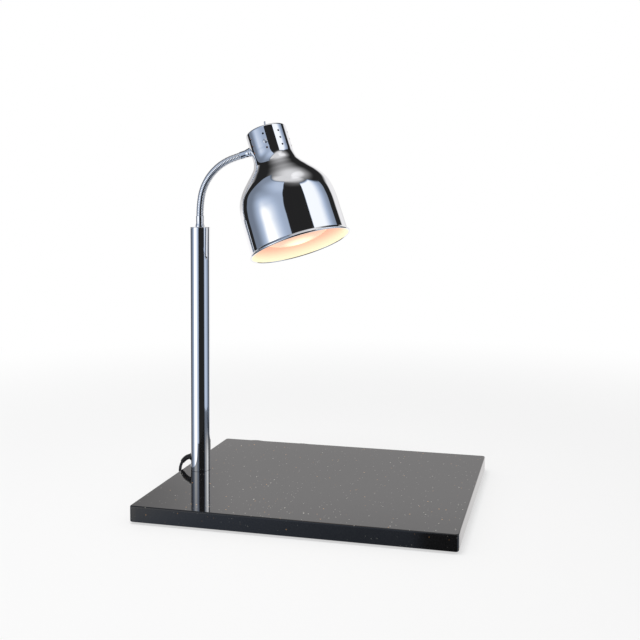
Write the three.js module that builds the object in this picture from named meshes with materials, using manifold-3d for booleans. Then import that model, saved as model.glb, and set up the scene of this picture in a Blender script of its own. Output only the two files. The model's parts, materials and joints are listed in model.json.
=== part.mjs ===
// Food heat lamp: a polished stone carving base, a chromed post, a flexible gooseneck arm
// and a chromed bell shade with its lampholder, reflector bulb and toggle switch.
// Millimetres, +Z up. The origin is on the table, under the centre of the base.

import * as THREE from 'three';
import { mergeVertices } from 'three/addons/utils/BufferGeometryUtils.js';
import Module from 'manifold-3d';

const wasm = await Module();
wasm.setup();

// Driving dimensions

const gap = 0.3; // clearance kept between pieces that seat on each other
const overrun = 2; // how far a cutting tool passes its work

const slab = { length: 500, depth: 400, thickness: 25, easedEdge: 2, cornerRadius: 5 };
const foot = { radius: 16, height: 3, chamfer: 0.8, inset: 42 };

const boltHole = { radius: 5.5, counterboreRadius: 21, counterboreDepth: 12 };
const washer = { radius: 18, thickness: 2.5 };
const bolt = { radius: 5, headAcross: 17, headHeight: 6.4 };

const post = { radius: 16.85, wall: 1.5, height: 417, fromLeftEdge: 31.6 };
const footPlug = { height: 14 };
const postCap = { thickness: 1.5, spigotDepth: 8, edge: 0.5 };

// Mains lead: a light two-core cord, and the moulded plug on it
const lead = { diameter: 5, holeHeight: 20.5, besideBase: 14.4, settle: 43, cornerRadius: 22, hankGap: 8 };
// Shares of the way out, along and down as the lead falls from the post to the table
const leadFallShares = [
  [-0.3, 0.019, 0],
  [0, 0.021, 0],
  [0.1, 0.027, 0.005],
  [0.195, 0.033, 0.017],
  [0.39, 0.058, 0.078],
  [0.589, 0.095, 0.191],
  [0.76, 0.144, 0.35],
  [0.877, 0.214, 0.537],
  [0.955, 0.333, 0.72],
  [0.993, 0.512, 0.87],
  [1, 0.733, 0.958],
  [1, 1, 0.994],
  [1, 1.35, 1],
];
const sleeve = { tipRadius: 3.7, bodyRadius: 4.6, flangeRadius: 6.4, flange: 1.6, length: 21 };
const hank = {
  bendRadius: 15,
  straight: 98,
  pitch: 5.8,
  loops: 2,
  drawnIn: 12,
  lift: 0.9,
  tail: 92,
  tailBend: 55,
  tailDrop: 36,
};
const tie = { width: 9, thickness: 0.6, corner: 3 };
const plug = { length: 36, width: 35, height: 13.6, noseWidth: 20, noseLength: 13, corner: 3 };
const pin = { radius: 2, length: 19, spacing: 18.6, rooted: 5 };
const fromBack = 4; // clear of the base's back edge

// Gooseneck arm: its plane, its centre line and its two ferrules
const armTurn = 8; // degrees from +X, seen from above
const lean = { radius: 200, angle: 9 };
const bow = { radius: 84, endRise: 19 };
const tail = 32.2; // straight stretch up to the neck, the upper ferrule on it
const flex = { crestRadius: 6.5, rootRadius: 5.9, boreRadius: 3.5, pieces: 5, ribPitch: 3.6, seated: 11 };
const knuckle = { radius: 5.2, domeHeight: 2.5, skirtStart: 0.6, grooveDepth: 1.3 };
const ferrule = { length: 19, radius: 6.8, flareRadius: 7.8, flareLength: 6, socketRadius: 6.2, edge: 0.6 };
const stem = { radius: 5, boreRadius: 3.5, lowerLength: 16, upperLength: 10.5, edge: 0.5 };
const lockNut = { across: 16, height: 4.6 };

// Shade: one spun sheet with a bell, a neck and a closed top
const headTurn = 11.8; // degrees the head is turned about the upper ferrule
const shade = { height: 208.5, skirtRadius: 82.3, neckRadius: 34.9, neckLength: 51.5, wall: 1, crownEdge: 3 };
const bead = { radius: 1.7, reach: 3.3 };
// Shares of the bell's height above the rim and of its width outside the neck
const bellShares = [
  [0.038, 1],
  [0.254, 0.977],
  [0.42, 0.954],
  [0.522, 0.919],
  [0.618, 0.839],
  [0.707, 0.685],
  [0.796, 0.455],
  [0.873, 0.237],
  [0.936, 0.084],
  [1, 0.015],
  [1.1, 0],
];
const vents = { radius: 1.8, firstRow: 14.4, rowPitch: 12.5 };
const collar = { radius: 8.6, thickness: 2 };
const saddle = { radius: 8.6, thickness: 2 };

// Inside the neck: bracket, lampholder, bulb and switch
const bracket = { width: 14, sheet: 1.5, top: 18.2, legLength: 17, bend: 2 };
const bracketScrew = { radius: 2, drop: 28.1, headRadius: 3.6, headHeight: 2.2, length: 8, slot: 1, slotDepth: 1 };
const holder = { radius: 20, height: 42, cavityRadius: 15, lipRadius: 21.5, lip: 6 };
const holderScrew = { radius: 1.7, headRadius: 3.2, headHeight: 2, length: 9, spacing: 22, slot: 0.9 };
const holderShell = { radius: 14.4, wall: 0.5, length: 19, threadDepth: 0.3, threads: 3 };
const holderContact = { length: 18, width: 7, thickness: 0.8, springRise: 1.2 };
const bulb = { radius: 62.5, length: 167, inset: 6, glass: 1, neckRadius: 11.6, seated: 6 };
// Shares of the bulb's glass height above its face and of its greatest radius
const bulbShares = [
  [0, 0],
  [0.013, 0.3],
  [0.044, 0.62],
  [0.092, 0.86],
  [0.15, 0.975],
  [0.213, 1],
  [0.3, 0.968],
  [0.42, 0.83],
  [0.54, 0.66],
  [0.66, 0.49],
  [0.76, 0.36],
  [0.85, 0.275],
  [0.93, 0.235],
];
const cap = { radius: 13.2, wall: 0.4, length: 21, threadDepth: 0.6, threads: 3 };
const insulator = { radius: 12.3, height: 3.4 };
const tip = { radius: 4.6, height: 1.4 };
const glassStem = { radius: 9.9, flare: 6, length: 44, pinchRadius: 4.5 };
const filament = { ringRadius: 15, wireRadius: 0.7, drop: 17, legSpacing: 5, openAngle: 50 };
const toggle = { width: 7.9, length: 13.2, height: 9.4, bushRadius: 3, bushRise: 5.2, boreRadius: 2.4 };
const toggleNut = { across: 8, height: 2 };
const lever = { length: 14.5, rootRadius: 1.15, tipRadius: 1.55, ballRadius: 2, pivotRise: 3.2, tilt: 12 };
const tag = { width: 2, thickness: 0.8, length: 3.4, spacing: 4.7 };
const wire = { radius: 0.9, spacing: 2.3, terminalDepth: 4, terminalSpread: 28, apart: 4.4 };

// Number of sides on round pieces
const sides = { vent: 8, small: 10, medium: 16, large: 28, shade: 32, bulb: 24, cord: 6, arm: 10, hank: 6 };
const hankSteps = { run: 5, bend: 7, tail: 8 };
const bellRows = 13;
const bulbRows = 11;

// Derived places

const slabBottom = foot.height;
const slabTop = slabBottom + slab.thickness;
const postX = post.fromLeftEdge - slab.length / 2;
const postTop = slabTop + post.height;
const tubeTop = postTop - postCap.thickness;
const postBore = post.radius - post.wall;

const radians = THREE.MathUtils.degToRad;

// Colours and finishes

const finishes = {
  stone: { color: 0x17171a, roughness: 0.08, metalness: 0 },
  chrome: { color: 0xd6dae0, roughness: 0.06, metalness: 1 },
  steel: { color: 0xa9adb2, roughness: 0.35, metalness: 1 },
  brass: { color: 0xc9a659, roughness: 0.3, metalness: 1 },
  rubber: { color: 0x151515, roughness: 0.75, metalness: 0 },
  cordSheath: { color: 0x101011, roughness: 0.5, metalness: 0 },
  plastic: { color: 0x121213, roughness: 0.4, metalness: 0 },
  porcelain: { color: 0xf1eee6, roughness: 0.25, metalness: 0 },
  glass: { color: 0xfff3dc, roughness: 0.08, metalness: 0 },
  filamentWire: { color: 0xffb066, roughness: 0.5, metalness: 1 },
  wireRed: { color: 0x8c3b1e, roughness: 0.5, metalness: 0 },
  wireBlue: { color: 0x2b4f9e, roughness: 0.5, metalness: 0 },
};

const materials = Object.fromEntries(
  Object.entries(finishes).map(([name, finish]) => [name, new THREE.MeshStandardMaterial({ name, ...finish })]),
);

function piece(parent, name, geometry, finish) {
  const mesh = new THREE.Mesh(geometry, materials[finish]);
  mesh.name = name;
  parent.add(mesh);
  return mesh;
}

// Geometry helpers

// Six times the signed volume: positive when the faces point out.
function signedVolume(positions, index) {
  const [a, b, c] = [new THREE.Vector3(), new THREE.Vector3(), new THREE.Vector3()];
  let sum = 0;
  for (let i = 0; i < index.length; i += 3) {
    a.fromArray(positions, 3 * index[i]);
    b.fromArray(positions, 3 * index[i + 1]);
    c.fromArray(positions, 3 * index[i + 2]);
    sum += a.dot(b.cross(c));
  }
  return sum;
}

// One closed body with shared vertices, no flat triangles, and its faces pointing out.
function closed(geometry) {
  const bare = new THREE.BufferGeometry();
  bare.setAttribute('position', geometry.getAttribute('position').clone());
  if (geometry.index) bare.setIndex(geometry.index.clone());
  const merged = mergeVertices(bare, 1e-4);
  const source = merged.index.array;
  const kept = [];
  for (let i = 0; i < source.length; i += 3) {
    const [a, b, c] = [source[i], source[i + 1], source[i + 2]];
    if (a !== b && b !== c && a !== c) kept.push(a, b, c);
  }
  if (signedVolume(merged.getAttribute('position').array, kept) < 0) {
    for (let i = 0; i < kept.length; i += 3) [kept[i], kept[i + 1]] = [kept[i + 1], kept[i]];
  }
  merged.setIndex(kept);
  return merged;
}

function toManifold(geometry) {
  const shape = closed(geometry);
  return new wasm.Manifold(
    new wasm.Mesh({
      numProp: 3,
      vertProperties: Float32Array.from(shape.getAttribute('position').array),
      triVerts: Uint32Array.from(shape.index.array),
    }),
  );
}

function fromManifold(manifold) {
  const mesh = manifold.getMesh();
  const geometry = new THREE.BufferGeometry();
  geometry.setAttribute('position', new THREE.BufferAttribute(mesh.vertProperties, 3));
  geometry.setIndex(new THREE.BufferAttribute(mesh.triVerts, 1));
  return geometry;
}

function cut(geometry, ...tools) {
  const rest = tools.reduce((solid, tool) => solid.subtract(toManifold(tool)), toManifold(geometry));
  return fromManifold(rest);
}

function join(geometry, ...others) {
  const whole = others.reduce((solid, other) => solid.add(toManifold(other)), toManifold(geometry));
  return fromManifold(whole);
}

// A turned piece about Z from [radius, height] pairs that start and end on the axis, or close.
function turned(profile, segments) {
  const upright = {
    centre: new THREE.Vector3(),
    tangent: new THREE.Vector3(0, 0, 1),
    across: new THREE.Vector3(1, 0, 0),
    up: new THREE.Vector3(0, 1, 0),
  };
  const [first, last] = [profile[0], profile.at(-1)];
  const loops = first[0] !== 0 && first[0] === last[0] && first[1] === last[1];
  const rows = (loops ? profile.slice(1) : profile).map(([radius, height]) => [0, radius, height]);
  return bent(rows, () => upright, segments);
}

function tube(outer, inner, bottom, top, segments) {
  return turned([[outer, bottom], [outer, top], [inner, top], [inner, bottom], [outer, bottom]], segments);
}

function rod(radius, bottom, top, segments) {
  return turned([[0, bottom], [radius, bottom], [radius, top], [0, top]], segments);
}

function bar(xSize, ySize, zSize, x, y, z) {
  return new THREE.BoxGeometry(xSize, ySize, zSize).translate(x, y, z);
}

// A rod whose axis lies along the unit vector `direction`, from `from` to `to` along it.
function rodAlong(direction, radius, from, to, segments) {
  const turn = new THREE.Quaternion().setFromUnitVectors(new THREE.Vector3(0, 0, 1), direction);
  return rod(radius, from, to, segments).applyQuaternion(turn);
}

function hexPrism(across, bottom, top) {
  return rod(across / Math.sqrt(3), bottom, top, 6);
}

function hexNut(across, bore, bottom, top) {
  const corner = across / Math.sqrt(3);
  return cut(hexPrism(across, bottom, top), rod(bore, bottom - corner, top + corner, sides.medium));
}

// A skin of rings round a path. `rows` holds [distance, radius, lead] entries: `place` gives the
// centre and the directions at a distance, and the ring stands `lead` beyond it. Rows that start
// and end at radius zero make a solid rod; otherwise the last ring joins the first: a sleeve.
function bent(rows, place, count) {
  const positions = [];
  const rings = rows.map(([distance, radius, ahead = 0]) => {
    const { centre, tangent, across, up } = place(distance);
    const start = positions.length / 3;
    const copies = radius === 0 ? 1 : count;
    for (let k = 0; k < copies; k += 1) {
      const angle = (2 * Math.PI * k) / count;
      const point = centre
        .clone()
        .addScaledVector(tangent, ahead)
        .addScaledVector(across, radius * Math.cos(angle))
        .addScaledVector(up, radius * Math.sin(angle));
      positions.push(point.x, point.y, point.z);
    }
    return { start, copies };
  });
  const index = [];
  const bands = rows[0][1] === 0 ? rings.length - 1 : rings.length;
  for (let r = 0; r < bands; r += 1) {
    const here = rings[r];
    const next = rings[(r + 1) % rings.length];
    for (let k = 0; k < count; k += 1) {
      const m = (k + 1) % count;
      const a = here.start + (here.copies === 1 ? 0 : k);
      const b = here.start + (here.copies === 1 ? 0 : m);
      const c = next.start + (next.copies === 1 ? 0 : k);
      const d = next.start + (next.copies === 1 ? 0 : m);
      if (a !== b) index.push(a, b, d);
      if (c !== d) index.push(a, d, c);
    }
  }
  const geometry = new THREE.BufferGeometry();
  geometry.setAttribute('position', new THREE.Float32BufferAttribute(positions, 3));
  geometry.setIndex(index);
  return closed(geometry);
}

// A plain cord along a curve, with a step every `stepLength`.
function cord(curve, radius, stepLength, count) {
  const section = new THREE.Shape();
  for (let k = 0; k < count; k += 1) {
    const angle = (2 * Math.PI * k) / count;
    const [x, y] = [radius * Math.cos(angle), radius * Math.sin(angle)];
    if (k === 0) section.moveTo(x, y);
    else section.lineTo(x, y);
  }
  section.closePath();
  const steps = Math.ceil(curve.getLength() / stepLength);
  return closed(new THREE.ExtrudeGeometry(section, { steps, extrudePath: curve, bevelEnabled: false }));
}

function smooth(points) {
  return new THREE.CatmullRomCurve3(points.map(([x, y, z]) => new THREE.Vector3(x, y, z)), false, 'centripetal');
}

// Base

const lamp = new THREE.Group();

function roundedRectangle(length, depth, radius) {
  const [x, y] = [length / 2, depth / 2];
  const shape = new THREE.Shape();
  shape.moveTo(-x + radius, -y);
  shape.lineTo(x - radius, -y);
  shape.absarc(x - radius, -y + radius, radius, -Math.PI / 2, 0);
  shape.lineTo(x, y - radius);
  shape.absarc(x - radius, y - radius, radius, 0, Math.PI / 2);
  shape.lineTo(-x + radius, y);
  shape.absarc(-x + radius, y - radius, radius, Math.PI / 2, Math.PI);
  shape.lineTo(-x, -y + radius);
  shape.absarc(-x + radius, -y + radius, radius, Math.PI, 1.5 * Math.PI);
  return shape;
}

function slabGeometry() {
  const edge = slab.easedEdge;
  const outline = roundedRectangle(slab.length - 2 * edge, slab.depth - 2 * edge, slab.cornerRadius - edge);
  const block = new THREE.ExtrudeGeometry(outline, {
    depth: slab.thickness - 2 * edge,
    bevelThickness: edge,
    bevelSize: edge,
    bevelSegments: 2,
    curveSegments: 3,
  }).translate(0, 0, slabBottom + edge);
  const roof = slabBottom + boltHole.counterboreDepth;
  const through = rod(boltHole.radius, slabBottom, slabTop + overrun, sides.medium).translate(postX, 0, 0);
  const recess = rod(boltHole.counterboreRadius, slabBottom - overrun, roof, sides.large).translate(postX, 0, 0);
  return cut(block, through, recess);
}

function footGeometry() {
  const top = foot.height - gap;
  return turned(
    [[0, 0], [foot.radius - foot.chamfer, 0], [foot.radius, foot.chamfer], [foot.radius, top], [0, top]],
    sides.medium,
  );
}

piece(lamp, 'base_slab', slabGeometry(), 'stone');

for (const [xName, xSign] of [['left', -1], ['right', 1]]) {
  for (const [yName, ySign] of [['front', -1], ['back', 1]]) {
    const x = xSign * (slab.length / 2 - foot.inset);
    const y = ySign * (slab.depth / 2 - foot.inset);
    piece(lamp, `foot_${yName}_${xName}`, footGeometry(), 'rubber').position.set(x, y, 0);
  }
}

// Post and its fixing

const postGroup = new THREE.Group();
postGroup.position.set(postX, 0, 0);
lamp.add(postGroup);

const washerTop = slabBottom + boltHole.counterboreDepth - gap;
const washerBottom = washerTop - washer.thickness;
const boltSeat = washerBottom - gap;
const plugBottom = slabTop + gap;
const plugTop = plugBottom + footPlug.height;

const leftward = new THREE.Vector3(-1, 0, 0);
const leadHeight = slabTop + lead.holeHeight;
const leadAside = leadFallShares[0][1] * lead.settle;

piece(postGroup, 'base_washer', tube(washer.radius, bolt.radius + gap, washerBottom, washerTop, sides.large), 'steel');

piece(
  postGroup,
  'base_bolt',
  join(
    rod(bolt.radius, boltSeat - bolt.headHeight / 2, plugTop - gap, sides.medium),
    hexPrism(bolt.headAcross, boltSeat - bolt.headHeight, boltSeat),
  ),
  'steel',
);

piece(postGroup, 'post_foot_plug', tube(postBore - gap, bolt.radius + gap, plugBottom, plugTop, sides.large), 'steel');

const leadHole = rodAlong(leftward, sleeve.bodyRadius + gap, 0, post.radius + overrun, sides.medium)
  .translate(0, leadAside, leadHeight);
piece(
  postGroup,
  'post_tube',
  cut(tube(post.radius, postBore, slabTop + gap, tubeTop - gap, sides.large), leadHole),
  'chrome',
);

function postCapGeometry() {
  const spigot = postBore - gap;
  const bore = stem.radius + gap;
  return turned(
    [
      [bore, tubeTop - postCap.spigotDepth],
      [spigot, tubeTop - postCap.spigotDepth],
      [spigot, tubeTop],
      [post.radius, tubeTop],
      [post.radius, postTop - postCap.edge],
      [post.radius - postCap.edge, postTop],
      [bore, postTop],
      [bore, tubeTop - postCap.spigotDepth],
    ],
    sides.large,
  );
}

piece(postGroup, 'post_top_cap', postCapGeometry(), 'chrome');

// Mains lead: out of the post, over the base's left edge, along the table and round the corner

const cordRadius = lead.diameter / 2;
const cordRest = cordRadius + gap / 3;
const leadX = -slab.length / 2 - lead.besideBase;
const leadExitX = postX - post.radius;
const hankFrontY = slab.depth / 2 + fromBack + cordRadius;
const cornerY = hankFrontY - lead.cornerRadius;
const outerBend = hank.bendRadius + hank.loops * hank.pitch;
const hankLeft = leadX + lead.cornerRadius + outerBend + lead.hankGap;
const hankBase = cordRadius + hank.lift;

function leadPoints() {
  const points = leadFallShares.map(([out, along, down]) => [
    THREE.MathUtils.lerp(leadExitX, leadX, out),
    along * lead.settle,
    THREE.MathUtils.lerp(leadHeight, cordRest, down),
  ]);
  const straightFrom = leadFallShares.at(-1)[1] * lead.settle;
  const runs = 5;
  for (let k = 1; k <= runs; k += 1) {
    points.push([leadX, THREE.MathUtils.lerp(straightFrom, cornerY, k / runs), cordRest]);
  }
  const turns = 4;
  for (let k = 1; k <= turns; k += 1) {
    const angle = Math.PI - (Math.PI / 2) * (k / turns);
    points.push([
      leadX + lead.cornerRadius * (1 + Math.cos(angle)),
      cornerY + lead.cornerRadius * Math.sin(angle),
      cordRest,
    ]);
  }
  const climb = 3;
  for (let k = 1; k <= climb; k += 1) {
    const x = THREE.MathUtils.lerp(leadX + lead.cornerRadius, hankLeft - gap, k / climb);
    points.push([x, hankFrontY, THREE.MathUtils.lerp(cordRest, hankBase, k / climb)]);
  }
  return points;
}

const leadCurve = smooth(leadPoints());

// Centre and directions at a distance along a curve.
function alongCurve(curve) {
  const length = curve.getLength();
  return (distance) => {
    const share = THREE.MathUtils.clamp(distance / length, 0, 1);
    const tangent = curve.getTangentAt(share);
    const across = new THREE.Vector3(0, 0, 1).cross(tangent).normalize();
    const centre = curve.getPointAt(share).addScaledVector(tangent, distance - share * length);
    return { centre, tangent, across, up: tangent.clone().cross(across) };
  };
}

// The moulded sleeve sits in the post's wall and tapers along the lead; the lead passes through.
function sleeveGeometry() {
  const start = leadCurve.getPointAt(0).x - leadExitX - post.wall - gap;
  const outside = start + post.wall + 2 * gap;
  const slope = sleeve.bodyRadius - sleeve.tipRadius;
  const bore = cordRadius + gap;
  const taper = [0, 0.25, 0.5, 0.75, 1];
  const outer = taper.map((share) => [
    outside + sleeve.flange + share * sleeve.length,
    sleeve.bodyRadius - share * slope,
  ]);
  const inner = taper.toReversed().map((share) => [outside + sleeve.flange + share * sleeve.length, bore]);
  return bent(
    [
      [start, sleeve.bodyRadius],
      [outside, sleeve.bodyRadius],
      [outside, sleeve.flangeRadius],
      [outside + sleeve.flange, sleeve.flangeRadius],
      ...outer,
      ...inner,
      [start, bore],
    ],
    alongCurve(leadCurve),
    sides.small,
  );
}

piece(lamp, 'lead_sleeve', sleeveGeometry(), 'rubber');
piece(lamp, 'mains_lead', cord(leadCurve, cordRadius, 1.2 * lead.diameter, sides.cord), 'cordSheath');

// Hank behind the base: two flat layers of long loops, drawn in at the tie. The lower layer
// spirals in, the cord climbs where the spiral turns back, and the upper layer spirals out.

const hankY = hankFrontY + outerBend;
const hankMiddleX = hankLeft + hank.straight / 2;
const layerStep = hank.pitch;
const runShare = 1 / 6; // of a loop; each bend takes a third
const hankTurns = 2 * hank.loops;
const plugY = slab.depth / 2 + fromBack + plug.width / 2;
const plugZ = plug.height / 2;
const turnLength = hank.straight / runShare;

function hankPoint(turns) {
  const inward = Math.min(turns, hankTurns - turns);
  const radius = outerBend - hank.pitch * inward;
  const climb = THREE.MathUtils.smoothstep(turns, hank.loops - 1 / 6, hank.loops + 1 / 6);
  const z = hankBase + layerStep * climb;
  if (turns > hankTurns + runShare) {
    const beyond = (turns - hankTurns - runShare) * turnLength;
    const aside = THREE.MathUtils.smoothstep(beyond, hank.tail - hank.tailBend - 2 * gap, hank.tail);
    const down = THREE.MathUtils.smoothstep(beyond, 0, hank.tailDrop);
    const y = THREE.MathUtils.lerp(hankY - outerBend - hank.pitch * runShare, plugY, aside);
    return new THREE.Vector3(hankMiddleX + hank.straight / 2 + beyond, y, THREE.MathUtils.lerp(z, plugZ, down));
  }
  const lap = turns - Math.floor(turns);
  const back = lap < 0.5 ? 1 : -1;
  const half = lap < 0.5 ? lap : lap - 0.5;
  if (half <= runShare) {
    const share = half / runShare;
    const x = hankMiddleX + back * (share - 0.5) * hank.straight;
    const drawn = hank.drawnIn * Math.sin(Math.PI * share) ** 2;
    return new THREE.Vector3(x, hankY - back * (radius - drawn), z);
  }
  const angle = -Math.PI / 2 + (Math.PI * (half - runShare)) / (0.5 - runShare);
  const x = hankMiddleX + back * (hank.straight / 2 + radius * Math.cos(angle));
  return new THREE.Vector3(x, hankY + back * radius * Math.sin(angle), z);
}

function placeOnHank(turns) {
  const step = 1e-3;
  const tangent = hankPoint(turns + step).sub(hankPoint(Math.max(turns - step, 0))).normalize();
  const across = new THREE.Vector3(0, 0, 1).cross(tangent).normalize();
  return { centre: hankPoint(turns), tangent, across, up: tangent.clone().cross(across) };
}

const hankEnd = hankTurns + runShare + hank.tail / turnLength;
const hankStops = [0];

function addStops(upTo, steps) {
  const from = hankStops.at(-1);
  for (let k = 1; k <= steps; k += 1) hankStops.push(THREE.MathUtils.lerp(from, upTo, k / steps));
}

for (let half = 0; half < 2 * hankTurns; half += 1) {
  addStops(half / 2 + runShare, hankSteps.run);
  addStops((half + 1) / 2, hankSteps.bend);
}
addStops(hankTurns + runShare, hankSteps.run);
addStops(hankEnd, hankSteps.tail);

// Least clear distance between stretches of the hank that are not next to each other.
function leastGap() {
  const centres = hankStops.map((turns) => placeOnHank(turns).centre);
  const reach = 2 * hankSteps.run;
  const foot = new THREE.Vector3();
  let least = Infinity;
  for (let i = 1; i < centres.length; i += 1) {
    for (const share of [0, 0.25, 0.5, 0.75]) {
      const point = centres[i - 1].clone().lerp(centres[i], share);
      for (let j = i + reach; j < centres.length; j += 1) {
        new THREE.Line3(centres[j - 1], centres[j]).closestPointToPoint(point, true, foot);
        least = Math.min(least, point.distanceTo(foot) - lead.diameter);
      }
    }
  }
  return least;
}

console.log(`hank: least gap to itself ${leastGap().toFixed(2)} mm`);

piece(
  lamp,
  'lead_hank',
  bent(
    [[0, 0], ...hankStops.map((turns) => [turns, cordRadius]), [hankEnd, 0]],
    placeOnHank,
    sides.hank,
  ),
  'cordSheath',
);

// A flat band round the waist, its outline in the plane across the runs.
function tieGeometry() {
  const drawn = hank.drawnIn * Math.sin((Math.PI * Math.floor(hankSteps.run / 2)) / hankSteps.run) ** 2;
  const front = outerBend + runShare * hank.pitch - drawn + cordRadius + gap;
  const back = outerBend - (0.5 - runShare) * hank.pitch - drawn + cordRadius + gap;
  const bottom = hankBase - cordRadius - gap;
  const top = hankBase + layerStep + cordRadius + gap;
  const [width, height] = [front + back, top - bottom];
  const outline = roundedRectangle(width + 2 * tie.thickness, height + 2 * tie.thickness, tie.corner);
  outline.holes.push(roundedRectangle(width, height, tie.corner - tie.thickness));
  const band = new THREE.ExtrudeGeometry(outline, { depth: tie.width, bevelEnabled: false, curveSegments: 2 });
  return band
    .translate(0, 0, -tie.width / 2)
    .rotateX(Math.PI / 2)
    .rotateZ(Math.PI / 2)
    .translate(hankMiddleX, hankY + (back - front) / 2, (top + bottom) / 2);
}

piece(lamp, 'hank_tie', tieGeometry(), 'rubber');

// Plug: flat two-pin body lying on the table

const plugBack = hankPoint(hankEnd).x + gap;
const plugGroup = new THREE.Group();
plugGroup.position.set(plugBack, plugY, 0);
lamp.add(plugGroup);

function plugGeometry() {
  const [half, nose] = [plug.width / 2, plug.noseWidth / 2];
  const outline = new THREE.Shape();
  outline.moveTo(0, -nose / 2);
  outline.lineTo(plug.noseLength, -nose);
  outline.lineTo(plug.length - plug.corner, -half + plug.corner);
  outline.lineTo(plug.length, -half + plug.corner);
  outline.lineTo(plug.length, half - plug.corner);
  outline.lineTo(plug.length - plug.corner, half - plug.corner);
  outline.lineTo(plug.noseLength, nose);
  outline.lineTo(0, nose / 2);
  const edge = plug.corner / 2;
  const body = new THREE.ExtrudeGeometry(outline, {
    depth: plug.height - 2 * edge,
    bevelThickness: edge,
    bevelSize: edge,
    bevelSegments: 2,
  }).translate(edge, 0, edge);
  const sockets = [-1, 1].map((sign) =>
    rodAlong(
      new THREE.Vector3(1, 0, 0),
      pin.radius + gap,
      plug.length - pin.rooted + 2 * edge - gap,
      plug.length + plug.corner + overrun,
      sides.small,
    ).translate(0, (sign * pin.spacing) / 2, plugZ),
  );
  return cut(body, ...sockets);
}

piece(plugGroup, 'plug_body', plugGeometry(), 'plastic');
for (const [name, sign] of [['plug_pin_1', -1], ['plug_pin_2', 1]]) {
  const from = plug.length - pin.rooted + plug.corner;
  const shape = rodAlong(new THREE.Vector3(1, 0, 0), pin.radius, from, from + pin.rooted + pin.length, sides.small);
  piece(plugGroup, name, shape, 'brass').position.set(0, (sign * pin.spacing) / 2, plugZ);
}

// Cable inside the post: in through the sleeve, up one side, out through the cap

function postCablePoints() {
  const top = postTop - gap;
  const start = leadCurve.getPointAt(0);
  const aside = postBore / 3;
  const inside = start.x - postX + gap;
  const rise = (top - leadHeight) / 10;
  return [
    [inside, start.y, leadHeight],
    [0.8 * inside, start.y, leadHeight],
    [0.4 * inside, start.y / 2, leadHeight + rise / 25],
    [aside / 2, 0, leadHeight + rise / 4],
    [aside, 0, leadHeight + 0.7 * rise],
    [aside, 0, leadHeight + 2 * rise],
    [aside / 2, 0, leadHeight + 6 * rise],
    [0, 0, leadHeight + 9 * rise],
    [0, 0, top],
  ];
}

piece(postGroup, 'post_cable', cord(smooth(postCablePoints()), cordRadius, 3 * lead.diameter, sides.cord), 'cordSheath');

// Gooseneck arm. Its group stands on the post's axis at the post's top, +X along the arm's plane.

const arm = new THREE.Group();
arm.position.set(0, 0, postTop);
arm.rotation.z = radians(armTurn);
postGroup.add(arm);

const leanLength = lean.radius * radians(lean.angle);
const bowAngle = 90 - lean.angle - bow.endRise;
const bowLength = bow.radius * radians(bowAngle);
const armLength = leanLength + bowLength + tail;
const ferruleLength = ferrule.length - collar.thickness - 2 * gap;
const flexLength = armLength - ferrule.length;
const flexStep = flexLength / flex.pieces;

// Centre line of the arm, from the lower ferrule's end to the neck's skin.
function armPlace(distance) {
  const first = Math.min(distance, leanLength) / lean.radius;
  const second = THREE.MathUtils.clamp(distance - leanLength, 0, bowLength) / bow.radius;
  const third = Math.max(distance - leanLength - bowLength, 0);
  const heading = Math.max(first, 0) + second;
  const kink = radians(lean.angle);
  const x = lean.radius * (1 - Math.cos(Math.max(first, 0)))
    + bow.radius * (Math.cos(kink) - Math.cos(kink + second))
    + third * Math.sin(heading);
  const z = ferrule.length
    + lean.radius * Math.sin(Math.max(first, 0))
    + Math.min(distance, 0)
    + bow.radius * (Math.sin(kink + second) - Math.sin(kink))
    + third * Math.cos(heading);
  const tangent = new THREE.Vector3(Math.sin(heading), 0, Math.cos(heading));
  const across = new THREE.Vector3(0, 1, 0);
  return { centre: new THREE.Vector3(x, 0, z), tangent, across, up: tangent.clone().cross(across) };
}

// Turned ferrule: a flared foot, a sleeve over the flexible tube, and a threaded stem behind it.
function ferruleGeometry(length, stemLength) {
  const floor = length - flex.seated - gap;
  return turned(
    [
      [stem.boreRadius, -stemLength],
      [stem.radius - stem.edge, -stemLength],
      [stem.radius, -stemLength + stem.edge],
      [stem.radius, 0],
      [ferrule.flareRadius - ferrule.edge, 0],
      [ferrule.flareRadius, ferrule.edge],
      [ferrule.flareRadius, ferrule.edge * 3],
      [ferrule.radius, ferrule.flareLength],
      [ferrule.radius, length - ferrule.edge],
      [ferrule.radius - ferrule.edge / 2, length],
      [ferrule.socketRadius, length],
      [ferrule.socketRadius, floor],
      [stem.boreRadius, floor],
      [stem.boreRadius, -stemLength],
    ],
    sides.medium,
  );
}

piece(arm, 'lower_ferrule', ferruleGeometry(ferrule.length, stem.lowerLength).translate(0, 0, gap), 'chrome');

const capNutTop = tubeTop - postCap.spigotDepth - gap - postTop;
piece(
  arm,
  'ferrule_lock_nut',
  hexNut(lockNut.across, stem.radius + gap, capNutTop - lockNut.height, capNutTop),
  'steel',
);

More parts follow.
